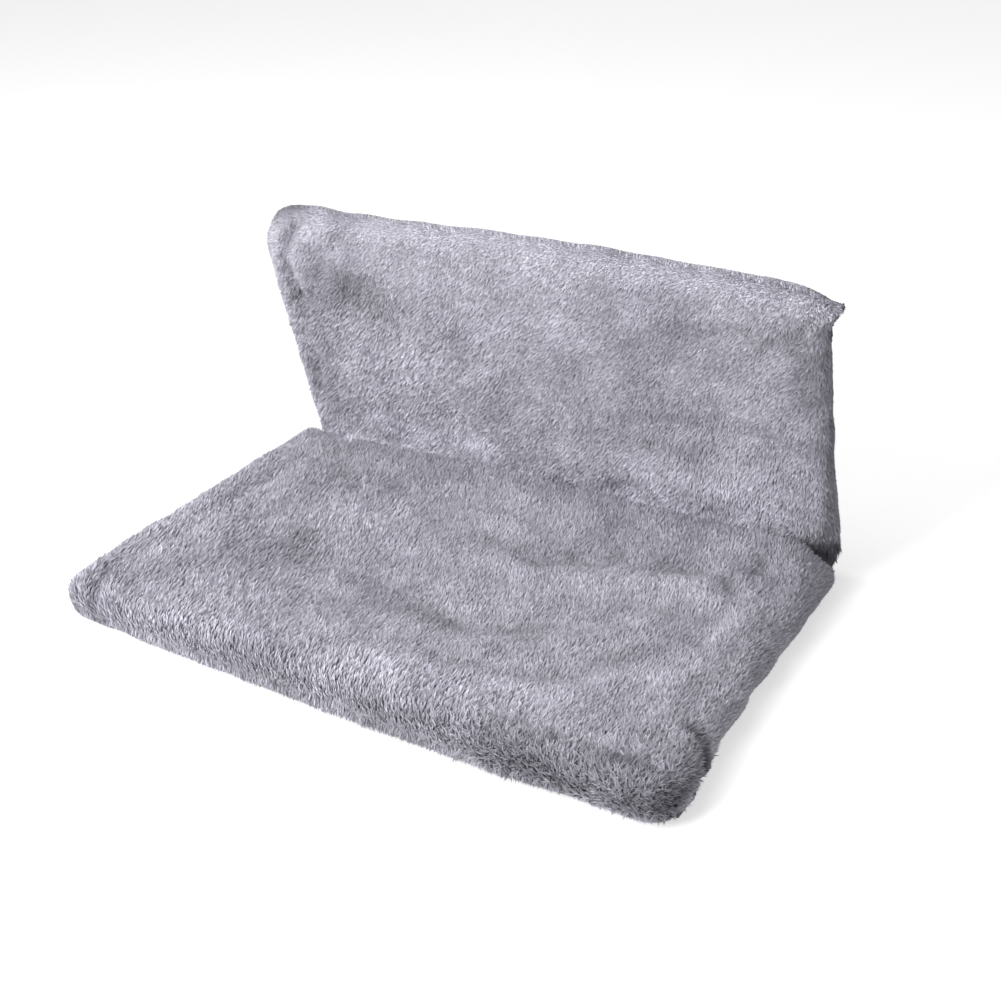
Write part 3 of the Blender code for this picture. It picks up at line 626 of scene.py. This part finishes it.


# How pale the seat's tufts are: patches of nap, with painted shade and painted light round the front, the
# seam, the right side and the rear right corner.
def seat_paleness_with_painted_light(x, y, z):
    # Painted shade: the front is darker towards the ground, and more so on the right, where it is also
    # ruffled.
    shade_top = np.interp(x, (-0.01, 0.03, 0.07, 0.11, 0.14), (0.0120, 0.0160, 0.0250, 0.0285, 0.0340))
    rim = 0.150 - 0.007 * ease(x, 0.09, 0.15)
    below = shade_top - z + 0.0042 * waves(x, y - z, 0.020, 21)
    front = ease(-y, rim, rim + 0.010) * ease(below, -0.004, 0.006)
    ruffled = near_line(x, y, ((0.140, -0.176), (0.228, -0.170), (0.230, -0.122)), 0.022)
    lower = ease(0.017 - z, 0, 0.006) * ease(x, 0.03, 0.08)
    pale = 1 - front * (0.08 + (0.15 * ease(x, 0.00, 0.12) + 0.07 * ease(x, 0.10, 0.15)) * (1 - 0.60 * lower))
    pale = pale - 0.10 * ruffled * ease(0.028 - z, 0, 0.008) - 0.11 * ease(-y, 0.154, 0.166)
    # Painted light: the front right corner is paler low down, where it faces the ground.
    pale = pale + 0.62 * ease(0.017 - z, 0, 0.008) * ease(x, 0.170, 0.200) * (y < -0.136)
    ahead = seam_line(z) - y
    # Painted shade in the groove of the corner seam, and painted highlight on the swell behind it.
    pale = pale - 0.55 * hump(ahead + 0.0015, 0.0050) * ease(x, 0.205, 0.216) * ease(z, 0.004, 0.010)
    pale = pale + 0.14 * hump(ahead + 0.0105, 0.0030) * ease(x, 0.210, 0.220)
    # Painted shade along the lower edge of the right side.
    edge_shade = 0.10 + 0.10 * waves(x, y, 0.06, 22)
    edge_top = 0.014 + 0.005 * ease(y, -0.02, 0.03)
    pale = pale - edge_shade * ease(x, 0.214, 0.222) * ease(edge_top - z, -0.002, 0.004)
    # Painted shadow at the rear right corner beside the back, and painted shade on the right side behind the
    # front corner.
    pale = pale - 0.35 * ease(x, 0.196, 0.210) * ease(y, 0.104, 0.112)
    pale = pale - 0.22 * ease(x, 0.217, 0.224) * ease(-y, 0.105, 0.118)
    for line, width, more in seat_nap_and_painted_light:
        pale = pale + more * near_line(x, y, line, width)
    return pale


plush_tufts = plush_finish("grey plush tufts", (0.450, 0.437, 0.507), (0.560, 0.545, 0.622), tufts=True)
seat_spacing, seat_tuft_length = 0.00088, 0.0033
seat_pile = pile(
    "seat_pile", seat_points, seat_spacing, seat_tuft_length, (0, 0, 1), seat_nap, seat_curl,
    seat_paleness_with_painted_light, plush_tufts, 11, seat_strokes,
)

# Raw edge of the corner seam
# Just behind the front right corner the cover is closed with a short seam down its side. The
# seam's raw edges are left outside, where they stick out in a few soft lumps.
seam_top, seam_foot = Vector((0.2260, -0.100, 0.0175)), Vector((0.2270, -0.147, 0.0030))
seam_root, seam_reach, seam_ruffle, seam_level = 0.0025, 0.0042, 0.0022, 0.0030
seam_edge_thickness, seam_spacing, seam_tuft = 0.0022, 0.00075, 0.0014
along, away = np.meshgrid(np.linspace(0, 1, 33), np.linspace(0, 1, 8))
lumps = 0.55 + 0.45 * np.cos(2 * math.pi * (along - 0.27) / 0.43)
reach = (seam_root + seam_reach * lumps * np.sin(math.pi * along) ** 0.6) * away
edge = np.array(seam_top) + along[..., None] * np.array(seam_foot - seam_top)
edge = edge + reach[..., None] * np.array((0.96, -0.22, -0.10))
edge[..., 2] += seam_ruffle * np.sin(2 * math.pi * 3.1 * along) * away
edge[..., 2] = np.maximum(edge[..., 2], seam_level)
seam_points = facing(edge, (0, -0.37, 0.93))
seam_edge = grid_piece("corner_seam_edge", seam_points, seam_edge_thickness, plush_backing_painted_dark)
# Its tufts are painted darker close to the side, as shade, and paler where they stick out.
seam_edge_pile = pile(
    "corner_seam_pile", seam_points, seam_spacing, seam_tuft, (0, 0, 1),
    lambda x, y, z, dice: 6.3 * dice, alike(0.5), lambda x, y, z: 0.50 + 0.66 * ease(x, 0.2272, 0.2305),
    plush_tufts, 47,
)

# Back cover
# The back's half of the plush cover. It rolls round the uprights and the top bar, and its foot
# turns forward in a soft crease onto the seat. Its sides run down behind the seat to the ground.
# The top right corner is sewn square, so a point of cloth sticks out past the bend of the tube.
lean = math.radians(15.3)
back_y = 0.12703
back_half = 0.1997
back_corner = 0.028
back_lap = 0.012
back_rim = 0.0115
back_top = 0.211
back_thickness = 0.003
crease_radius = 0.009
back_waver, back_ripple = 0.0008, 0.0006
seat_level = rim_height + seat_rim
corner_fold = ((-0.161, 0.221), (-0.175, 0.2025), (-0.183, 0.1885), (-0.1905, 0.165), (-0.190, 0.148))
upper_fold = ((-0.127, 0.211), (-0.150, 0.196), (-0.161, 0.172))
back_folds = (
    (corner_fold, 0.0042, -0.0024),
    (((-0.186, 0.165), (-0.190, 0.060)), 0.0060, -0.0014),
    (upper_fold, 0.0060, -0.0016),
    (((-0.165, 0.155), (-0.137, 0.172)), 0.0160, -0.0018),
    (((-0.140, 0.194), (-0.120, 0.196)), 0.0110, 0.0016),
    (((-0.125, 0.146), (-0.090, 0.150)), 0.0120, -0.0016),
    (((-0.062, 0.025), (-0.028, 0.028)), 0.0140, 0.0018),
    (((0.040, 0.026), (0.110, 0.030), (0.190, 0.036)), 0.0150, 0.0020),
    (((0.095, 0.082), (0.157, 0.092), (0.184, 0.096)), 0.0090, -0.0016),
    (((0.125, 0.128), (0.151, 0.134), (0.175, 0.122)), 0.0110, 0.0011),
    (((0.090, 0.184), (0.120, 0.180), (0.190, 0.184)), 0.0100, -0.0016),
    (((0.090, 0.150), (0.110, 0.140)), 0.0140, -0.0020),
)
# How far the top right corner stands out past its round tube, by degrees up from the side.
point_angles = (0, 17.5, 25, 29.7, 36, 48.8, 60, 70, 90)
point_reaches = (0.0010, 0.0030, 0.0090, 0.0180, 0.0120, 0.0060, 0.0025, 0.0010, 0)
# The top edge isn't quite straight: how far it stands up, at these places along it.
top_places = (-0.150, -0.105, -0.060, -0.030, 0.020, 0.055, 0.090, 0.115, 0.165, 0.190)
top_heights = (0.0004, -0.0006, 0.0014, 0.0026, 0.0038, 0.0034, 0.0034, 0.0008, -0.0010, 0)
loose_side = 0.0055
loose_foot = 0.0040
tucked_foot = 0.0075


def on_back(x, u, out):
    """Points in the back's plane: out is how far they stand in front of it."""
    return np.stack(
        [
            x,
            back_y - out * math.cos(lean) - u * math.sin(lean),
            rim_height - out * math.sin(lean) + u * math.cos(lean),
        ],
        axis=-1,
    )


back_wrap = math.pi * back_rim + back_lap
a, b = flat_grid(back_half, back_top, back_wrap)
x, u, out, turn, direction, inner_u = rolled(a, b, back_half, back_top, back_corner, back_rim)
share_x = x / back_half
middle = np.clip(1 - share_x**2, 0, 1) * np.sin(math.pi * np.clip(u / back_top, 0, 1)) ** 2
lift = 0.001 * middle * (1 + np.sin(2 * math.pi * (1.3 * share_x + 1.2 * u / back_top)))
wander_x = x + fold_wander * waves(x, u, wander_size, 27)
wander_u = u + fold_wander * waves(x, u, wander_size, 28)
uneven = np.clip(1 + 0.5 * waves(x, u, 0.045, 29), 0.2, 1.8)
for line, width, rise in back_folds:
    lift = lift + 1.5 * rise * uneven * near_line(wander_x, wander_u, line, 1.3 * width)
out = out + (lift + back_waver * waves(x, u, 0.050, 23)) * (1 - ease(turn, 0, 1.2))
# Cloth stands out at the top right corner and down the right side, and lies tight on the left.
edge = np.sin(turn) ** 1.3
upper = inner_u >= back_top - back_corner - 1e-9
reach = np.where(upper, np.interp(np.degrees(direction), point_angles, point_reaches), point_reaches[0])
left_corner_reach, left_side_slack = 0.0022, 0.0024
left_reach = left_corner_reach * upper * hump(np.degrees(direction) - 48, 22)
reach = np.where(a > 0, reach, left_reach) * edge
slack = loose_side + loose_foot * ease(-u, -0.120, -0.020) - tucked_foot * ease(-u, -0.026, -0.004)
right_slack = slack * ease(x, 0.165, 0.200)
left_slack = left_side_slack * ease(-x, 0.17, 0.20) * (1 + 0.5 * u / back_top)
x = x + reach * np.cos(direction) + right_slack + left_slack
u = u + reach * np.sin(direction) + np.interp(x, top_places, top_heights) * edge
# The front sheet starts above the crease, and the sides start at the ground.
crease_u = (seat_level - rim_height + back_rim * math.sin(lean)) / math.cos(lean)
tangent = crease_radius / math.tan((math.pi / 2 - lean) / 2)
end_fade = ease(np.abs(a) - 0.008 * (a > 0), back_half - 0.034, back_half - 0.012)
start_u = (crease_u + tangent) * (1 - end_fade) + (crease_u - 0.006) * end_fade
drop = ease(turn, 0.9, 1.57)
foot_step = 0.0003
ground_line = 0.0010 + 11 * foot_step
ground_u = (ground_line - rim_height + out * math.sin(lean)) / math.cos(lean)
start_u = start_u * (1 - drop) + ground_u * drop
core_u = back_top - back_corner
u = np.where(inner_u < core_u, start_u + u * (1 - start_u / core_u), u)
back_points = on_back(x, u, out)
# The foot rows carry the front sheet round the crease and forward onto the seat.
round_rows, foot_rows, foot_run = 9, 2, 0.004
centre = on_back(np.array(0.0), np.array(crease_u + tangent), np.array(back_rim + crease_radius))
foot = []
for row in range(foot_rows + round_rows, 0, -1):
    angle = (1 - min(row, round_rows) / round_rows) * (math.pi / 2 + lean)
    run = max(0, row - round_rows) * foot_run / foot_rows
    line = back_points[0].copy()
    bulge = (out[0] - back_rim) * math.cos(lean) * (1 - row / (foot_rows + round_rows))
    line[:, 1] = centre[1] + crease_radius * math.sin(angle) - run - bulge
    line[:, 2] = centre[2] - crease_radius * math.cos(angle) - 0.0006 - 0.9 * run
    tucked = back_points[0] - np.array([0, 0, foot_step * row])
    foot.append(line * (1 - end_fade[0][:, None]) + tucked * end_fade[0][:, None])
back_points = facing(np.concatenate([np.array(foot), back_points], axis=0), (0, -1, 0))
ripple = back_ripple * waves(back_points[..., 0] + back_points[..., 1], back_points[..., 2], ripple_size, 25)
back_points = back_points + normals_of(back_points) * ripple[..., None]
back_points[..., 2] = np.maximum(back_points[..., 2], lowest_cloth)
back_cover = grid_piece("back_cover_cloth", back_points, back_thickness, plush_backing_painted_dark)
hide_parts("back_cover")

# Plush of the back
# The same pile on the back's cloth, brushed downward and a little to the left. It turns over the
# top bar, and is longer and more marked low down than towards the top.
# Each patch: the line that it follows, half its width, and how much paler it looks. Some are nap
# brushed another way; the rest are painted shade in fold grooves, at the top left corner, along the
# top and down the right side, and painted light in the bands above the crease.
back_nap_and_painted_light = (
    (((-0.174, 0.130), (-0.178, 0.095), (-0.190, 0.060)), 0.015, -0.18),
    (((-0.166, 0.156), (-0.137, 0.174), (-0.118, 0.172)), 0.022, -0.24),
    (upper_fold, 0.005, -0.14),
    (((-0.124, 0.148), (-0.085, 0.150)), 0.022, -0.16),
    (((-0.130, 0.195), (-0.115, 0.196)), 0.012, 0.14),
    (((-0.160, 0.210), (-0.152, 0.208)), 0.010, 0.12),
    (((-0.210, 0.186), (-0.206, 0.199), (-0.200, 0.209), (-0.190, 0.219), (-0.172, 0.225)), 0.008, -0.60),
    (((-0.150, 0.214), (-0.060, 0.216), (0.010, 0.218)), 0.010, -0.07),
    (((-0.174, 0.122), (-0.168, 0.104)), 0.013, -0.10),
    (((-0.158, 0.142), (-0.145, 0.150), (-0.128, 0.156)), 0.022, -0.12),
    (((-0.156, 0.198), (-0.152, 0.194)), 0.010, 0.14),
    (((-0.194, 0.046), (-0.186, 0.036)), 0.012, 0.12),
    (((-0.130, 0.040), (-0.080, 0.040), (-0.040, 0.043)), 0.012, 0.20),
    (((0.120, 0.032), (0.150, 0.037), (0.172, 0.041)), 0.013, 0.12),
    (corner_fold, 0.0035, -0.22),
    (((0.050, 0.052), (0.120, 0.060), (0.190, 0.074)), 0.030, 0.08),
    (((-0.080, 0.046), (0.020, 0.040)), 0.024, 0.08),
    (((-0.150, 0.088), (-0.083, 0.107)), 0.020, 0.12),
    (((-0.150, 0.042), (-0.100, 0.038), (-0.036, 0.038)), 0.014, 0.13),
    (((-0.052, 0.038), (-0.042, 0.039)), 0.013, 0.26),
    (((0.050, 0.030), (0.110, 0.035), (0.185, 0.043)), 0.012, 0.28),
    (((0.071, 0.046), (0.129, 0.056), (0.186, 0.068)), 0.015, 0.18),
    (((0.100, 0.082), (0.157, 0.091), (0.186, 0.095)), 0.009, -0.12),
    (((0.145, 0.134), (0.160, 0.134)), 0.012, 0.07),
    (((0.092, 0.196), (0.104, 0.194)), 0.014, 0.08),
    (((0.125, 0.182), (0.150, 0.178), (0.190, 0.186)), 0.013, -0.20),
    (((0.120, 0.160), (0.150, 0.156), (0.190, 0.164)), 0.017, -0.16),
    (((0.080, 0.146), (0.100, 0.142)), 0.017, -0.12),
    (((0.130, 0.136), (0.138, 0.140)), 0.010, -0.12),
    (((0.203, 0.200), (0.206, 0.145)), 0.009, -0.30),
    (((-0.187, 0.130), (-0.190, 0.060)), 0.007, -0.08),
)


def back_nap(x, y, z, dice):
    """Down and to the left, more and more over the top bar, and up from the seat in the crease."""
    forward = (back_y - y) * math.cos(lean) - (z - rim_height) * math.sin(lean)
    foot = (1 - ease(z, seat_level + 0.0015, seat_level + 0.0045)) * (x < 0.198)
    over = ease(-forward + 0.001 * waves(x, y, 0.04, 34), -0.0050, 0.0060) * (z > 0.19)
    down = -2.47 - 0.45 * ease(x, 0.03, 0.16) * (1 - ease(z, 0.10, 0.17))
    return np.where(dice < foot, 0.0, np.where(dice < over, -0.35, down))


# How pale the back's tufts are: patches of nap, with painted shade and painted light.
def back_paleness_with_painted_light(x, y, z):
    up_back = (z - rim_height) / math.cos(lean)
    forward = (back_y - y) * math.cos(lean) - (z - rim_height) * math.sin(lean)
    # Painted shade on the turned right side: a thin strip high up, and a wedge near the seat.
    shaded = np.interp(up_back, (0.030, 0.050, 0.070, 0.100, 0.150), (0.0122, 0.0112, 0.0095, 0.0055, 0.0005))
    pale = 1 - 0.40 * ease(x, 0.199, 0.205) * ease(shaded - forward, -0.0015, 0.0015)
    corner = ease(x + 0.002 * waves(x, z, 0.01, 36), 0.194, 0.201) * ease(0.026 - up_back, -0.003, 0.003)
    # Painted light along the foot of the back, where it lies in the crease.
    pale = pale - 0.36 * corner + 0.12 * (1 - ease(z, seat_level + 0.002, seat_level + 0.010)) * (x < 0.190)
    for line, width, more in back_nap_and_painted_light:
        pale = pale + more * near_line(x, up_back, line, width)
    return pale


def back_strokes(x, y, z):
    """Long strokes on the left and low down, and a short, even pile at the top and on the right."""
    long_ones = np.maximum(ease(-x, -0.010, 0.090), ease(0.080 - z, 0.010, 0.040))
    long_ones = long_ones * ease(0.195 - z, 0.000, 0.030)
    short_ones = np.maximum(ease(x, 0.000, 0.080) * ease(z, 0.085, 0.125), ease(z, 0.150, 0.200))
    return 1 + 0.45 * long_ones - 0.30 * short_ones - 0.25 * ease(z, 0.200, 0.222)


back_face = (0, -math.cos(lean), -math.sin(lean))
back_spacing, back_tuft_length = 0.00082, 0.0034
back_pile = pile(
    "back_pile", back_points, back_spacing, back_tuft_length, back_face, back_nap, alike(0.15),
    back_paleness_with_painted_light, plush_tufts, 31, back_strokes,
)

# Front pocket and top pocket
# Two flaps of the same plush, hemmed along their free edges. The front one closes the cover under
# the front bar, and the top one behind the top bar, so that the cover can be pulled on and off.
pocket_thickness = 0.0034
hem_depth = 0.007
hem_swell = 0.0007
hem_step = 0.0018
flap_slack = 0.0006


def flap_grid(half_width, depth, corner, face):
    """A flap with its two far corners rounded; its last few millimetres swell into a hem."""
    a, b = np.meshgrid(
        np.linspace(-1, 1, 2 * round(half_width / cloth_step) + 1),
        np.linspace(0, depth, round(depth / hem_step) + 1),
    )
    inset = corner - np.sqrt(np.clip(corner**2 - np.clip(b - depth + corner, 0, corner) ** 2, 0, None))
    x = a * (half_width - inset)
    hem = np.sin(np.pi * np.clip(1 - b / hem_depth, 0, 1))
    slack = flap_slack * waves(x, b, 0.05, 41) * np.clip(1 - a**8, 0, 1)
    return x, b, face + hem_swell * hem + slack


front_pocket_half, front_pocket_rear, front_pocket_depth = 0.2007, -0.09867, 0.045
front_pocket_corner, front_pocket_face, front_pocket_level = 0.002, 0.0010, 0.0028
front_pocket_lowest = 0.0006
x, b, down = flap_grid(front_pocket_half, front_pocket_depth, front_pocket_corner, front_pocket_face)
down = np.maximum(front_pocket_level - down, front_pocket_lowest)
front_pocket_points = facing(np.stack([x, front_pocket_rear - b, down], axis=2), (0, 0, -1))
front_pocket = grid_piece("front_pocket_cloth", front_pocket_points, pocket_thickness, plush_backing_painted_dark)
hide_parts("front_pocket")
front_pocket_pile = pile(
    "front_pocket_pile", front_pocket_points, 0.00130, 0.0040, (0, 0, 1),
    lambda x, y, z, dice: 0 * x, alike(0.2), alike(1.0), plush_tufts, 43,
)

top_pocket_half, top_pocket_foot, top_pocket_depth, top_pocket_corner = 0.1874, 0.1627, 0.036, 0.0157
top_pocket_behind = 0.0102
x, b, rear = flap_grid(top_pocket_half, top_pocket_depth, top_pocket_corner, 0.0)
top_pocket_points = facing(on_back(x, top_pocket_foot + b, -top_pocket_behind - rear), (0, 1, 0))
top_pocket = grid_piece("top_pocket_cloth", top_pocket_points, pocket_thickness, plush_backing_painted_dark)
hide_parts("top_pocket")
top_pocket_pile = pile(
    "top_pocket_pile", top_pocket_points, 0.00100, 0.0048, (0, math.cos(lean), math.sin(lean)),
    lambda x, y, z, dice: math.pi + 0 * x, alike(0.16), alike(0.98), plush_tufts, 45,
)

# Returns
# Four facing strips of grey plain weave, sewn to the cover's sides. They carry the cloth on
# under the side rails and behind the uprights, and pucker a little where the elastic pulls them.
return_cloth = 0.0016
weave_pitch = 0.0009


def joined(nodes, links, operation, first, second):
    """Two amounts made into one."""
    made = nodes.new("ShaderNodeMath")
    made.operation = operation
    links.new(first, made.inputs[0])
    links.new(second, made.inputs[1])
    return made.outputs[0]


def woven(name, dark, light, pitch, ribs, roughness):
    """Woven cloth: threads that pass over and under, or ribs that only run one way."""
    made, nodes, links, skin, place = new_finish(name)
    skin.inputs["Roughness"].default_value = roughness
    skin.inputs["Specular IOR Level"].default_value = 0.3
    skin.inputs["Sheen Weight"].default_value = 0.1
    threads = []
    for along in ("X", "Y", "Z"):
        wave = nodes.new("ShaderNodeTexWave")
        wave.bands_direction = along
        wave.inputs["Scale"].default_value = 0.314 / pitch
        wave.inputs["Distortion"].default_value = 0.4
        links.new(place, wave.inputs["Vector"])
        threads.append(wave.outputs["Fac"])
    height = threads[0]
    if not ribs:
        height = joined(nodes, links, "MAXIMUM", height, joined(nodes, links, "MULTIPLY", *threads[1:]))
    worn = joined(nodes, links, "MULTIPLY", height, patchy(nodes, links, place, 60))
    links.new(two_colours(nodes, links, worn, dark, light, 0, 0.6), skin.inputs["Base Color"])
    roughen(nodes, links, skin, height, 0.0003)
    return made


lining_weave = woven("grey plain weave", (0.17, 0.17, 0.19), (0.29, 0.29, 0.325), weave_pitch, False, 0.85)
seat_return_edges, seat_return_span, seat_return_level = (0.1729, 0.2006), (-0.0984, 0.0970), 0.0010
back_return_edges, back_return_span, back_return_behind = (0.1716, 0.1872), (0.0132, 0.1622), 0.0083
pucker_height, pucker_pitch = 0.0005, 0.0085
for side_name, sign in (("left", -1), ("right", 1)):
    across, along = np.meshgrid(np.linspace(*seat_return_edges, 17), np.linspace(*seat_return_span, 79))
    pucker = pucker_height * np.sin(along * 2 * math.pi / pucker_pitch) * ease(0.190 - across, 0, 0.015)
    grid = facing(np.stack([sign * across, along, seat_return_level - pucker], axis=2), (0, 0, -1))
    strip = grid_piece(f"seat_return_{side_name}_cloth", grid, return_cloth, lining_weave)
    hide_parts(f"seat_return_{side_name}")
    across, along = np.meshgrid(np.linspace(*back_return_edges, 11), np.linspace(*back_return_span, 61))
    pucker = pucker_height * np.sin(along * 2 * math.pi / pucker_pitch) * ease(0.183 - across, 0, 0.010)
    grid = facing(on_back(sign * across, along, -back_return_behind - pucker), (0, 1, 0))
    strip = grid_piece(f"back_return_{side_name}_cloth", grid, return_cloth, lining_weave)
    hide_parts(f"back_return_{side_name}")

# Elastic straps
# Three 20 mm elastic tapes that draw the returns together, two under the seat and one behind the
# back. They are ribbed along their length, and a box of stitches at each end holds them.
tape_width = 0.020
tape_thickness = 0.0012
rib_pitch, rib_height = 0.0016, 0.00012
elastic_tape = woven("dark ribbed elastic", (0.10, 0.10, 0.115), (0.21, 0.21, 0.235), rib_pitch, True, 0.8)
thread_finish = mottled(
    "grey sewing thread", (0.20, 0.20, 0.22), (0.30, 0.30, 0.33), 0.002, (0.6, 0.8), 0.0, 0.0002, 0.00005
)
thread_radius, thread_rise = 0.00028, 0.00018
stitch_pitch, stitch_share = 0.0034, 0.68
stitch_box, stitch_inset, stitch_spread = 0.012, 0.0015, 0.4


def tape(name, place, half_length):
    """A ribbed tape: place(along, across, up) puts it on the bed."""
    along, across = np.meshgrid(
        np.linspace(-half_length, half_length, 121),
        np.linspace(-0.5, 0.5, 41) * tape_width,
    )
    rib = rib_height * np.cos(across * 2 * math.pi / rib_pitch)
    grid = place(along, across, tape_thickness / 2 + rib)
    return grid_piece(name, grid, tape_thickness, elastic_tape)


def stitches(name, points, facing_out):
    """One short, rounded stitch of thread between each pair of points."""
    bm = bmesh.new()
    for start, end in points:
        start, end = Vector(start), Vector(end)
        run = (end - start).normalized()
        out = Vector(facing_out)
        across = run.cross(out).normalized()
        rings = []
        for share, thick in ((0, 0.25), (0.18, 0.8), (0.5, 1.0), (0.82, 0.8), (1, 0.25)):
            centre = start.lerp(end, share) + out * thread_rise * math.sin(math.pi * share)
            ring = []
            for k in range(6):
                around = across * math.cos(k * math.pi / 3) + out * math.sin(k * math.pi / 3)
                ring.append(bm.verts.new(centre + thread_radius * thick * around))
            rings.append(ring)
        for low, high in zip(rings, rings[1:]):
            for k in range(6):
                bm.faces.new((low[k], low[(k + 1) % 6], high[(k + 1) % 6], high[k]))
        bm.faces.new(rings[0][::-1])
        bm.faces.new(rings[-1])
    bmesh.ops.recalc_face_normals(bm, faces=bm.faces)
    mesh = bpy.data.meshes.new(name)
    bm.to_mesh(mesh)
    mesh.shade_smooth()
    return added(name, mesh, thread_finish)


def stitch_line(start, end):
    """Where the stitches of a seam start and end, from one point to another."""
    start, end = Vector(start), Vector(end)
    count = max(1, round((end - start).length / stitch_pitch))
    return [
        (start.lerp(end, k / count), start.lerp(end, (k + stitch_share) / count)) for k in range(count)
    ]


def sewn_ends(half_length, middle, place):
    """A crossed box of stitches at each end of a tape: place(along, across) puts it on the bed."""
    sewn = []
    low, high = middle - stitch_spread * tape_width, middle + stitch_spread * tape_width
    for sign in (-1, 1):
        inner, outer = sign * (half_length - stitch_box), sign * (half_length - stitch_inset)
        corners = [place(*at) for at in ((inner, low), (outer, low), (outer, high), (inner, high))]
        for start, end in zip(corners, corners[1:] + corners[:1]):
            sewn += stitch_line(start, end)
        sewn += stitch_line(corners[0], corners[2]) + stitch_line(corners[1], corners[3])
    return sewn


seat_tape_half, seat_tape_level, seat_stitch_level = 0.1722, 0.0015, 0.0007
for place_name, tape_y in (("front", -0.0421), ("rear", 0.0429)):
    def under_seat(along, across, up, tape_y=tape_y):
        return facing(np.stack([along, tape_y + across, seat_tape_level - up], axis=2), (0, 0, -1))

    strap = tape(f"seat_strap_{place_name}_tape", under_seat, seat_tape_half)
    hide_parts(f"seat_strap_{place_name}")
    sewn = sewn_ends(seat_tape_half, tape_y, lambda along, across: (along, across, seat_stitch_level))
    stitches(f"seat_strap_{place_name}_stitches", sewn, (0, 0, -1))

back_tape_half, back_tape_height, back_tape_behind, back_stitch_behind = 0.1708, 0.0724, 0.0078, 0.0086


def behind_back(along, across, up):
    return facing(on_back(along, back_tape_height + across, -back_tape_behind - up), (0, 1, 0))


strap = tape("back_strap_tape", behind_back, back_tape_half)
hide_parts("back_strap")
sewn = sewn_ends(
    back_tape_half, back_tape_height, lambda along, across: tuple(on_back(along, across, -back_stitch_behind))
)
stitches("back_strap_stitches", sewn, (0, math.cos(lean), math.sin(lean)))

# Crease straps
# Three loops of the same tape, sewn into the crease. Each goes down behind the cross bar, under
# it and up again in front, and so holds the crease down to the frame.
loop_pitch, loop_rib, loop_bend, edge_fall = 0.0018, 0.0001, 0.0026, 0.00025
crease_tape = woven("dark ribbed webbing", (0.10, 0.10, 0.115), (0.21, 0.21, 0.235), loop_pitch, True, 0.8)
for strap_name in ("left", "middle", "right"):
    low, high = (np.array(c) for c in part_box(f"crease_strap_{strap_name}"))
    centre_x = (low[0] + high[0]) / 2
    inset = tape_thickness / 2
    y_front, y_rear, z_low, z_high = low[1] + inset, high[1] - inset, low[2] + inset, high[2]
    bend = loop_bend
    steps = np.linspace(0, math.pi / 2, 7)
    run = [(y_rear, z) for z in np.linspace(z_high, z_low + bend, 6)]
    run += [(y_rear - bend + bend * math.cos(s), z_low + bend - bend * math.sin(s)) for s in steps[1:]]
    run += [(y, z_low) for y in np.linspace(y_rear - bend, y_front + bend, 16)[1:]]
    run += [(y_front + bend - bend * math.sin(s), z_low + bend - bend * math.cos(s)) for s in steps[1:]]
    run += [(y_front, z) for z in np.linspace(z_low + bend, z_high, 6)[1:]]
    run = np.array(run)
    across = np.linspace(-0.5, 0.5, 33)
    grid = np.zeros((len(run), len(across), 3))
    grid[..., 0] = centre_x + across[None, :] * tape_width
    grid[..., 1:] = run[:, None, :]
    grid = facing(grid, (0, 0, -1))
    rib = tape_thickness / 2 - edge_fall * (2 * np.abs(across)) ** 6
    rib = rib + loop_rib * np.cos(across * tape_width * 2 * math.pi / loop_pitch)
    grid = grid + normals_of(grid) * rib[None, :, None]
    loop = grid_piece(f"crease_strap_{strap_name}_loop", grid, tape_thickness, crease_tape)
    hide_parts(f"crease_strap_{strap_name}")
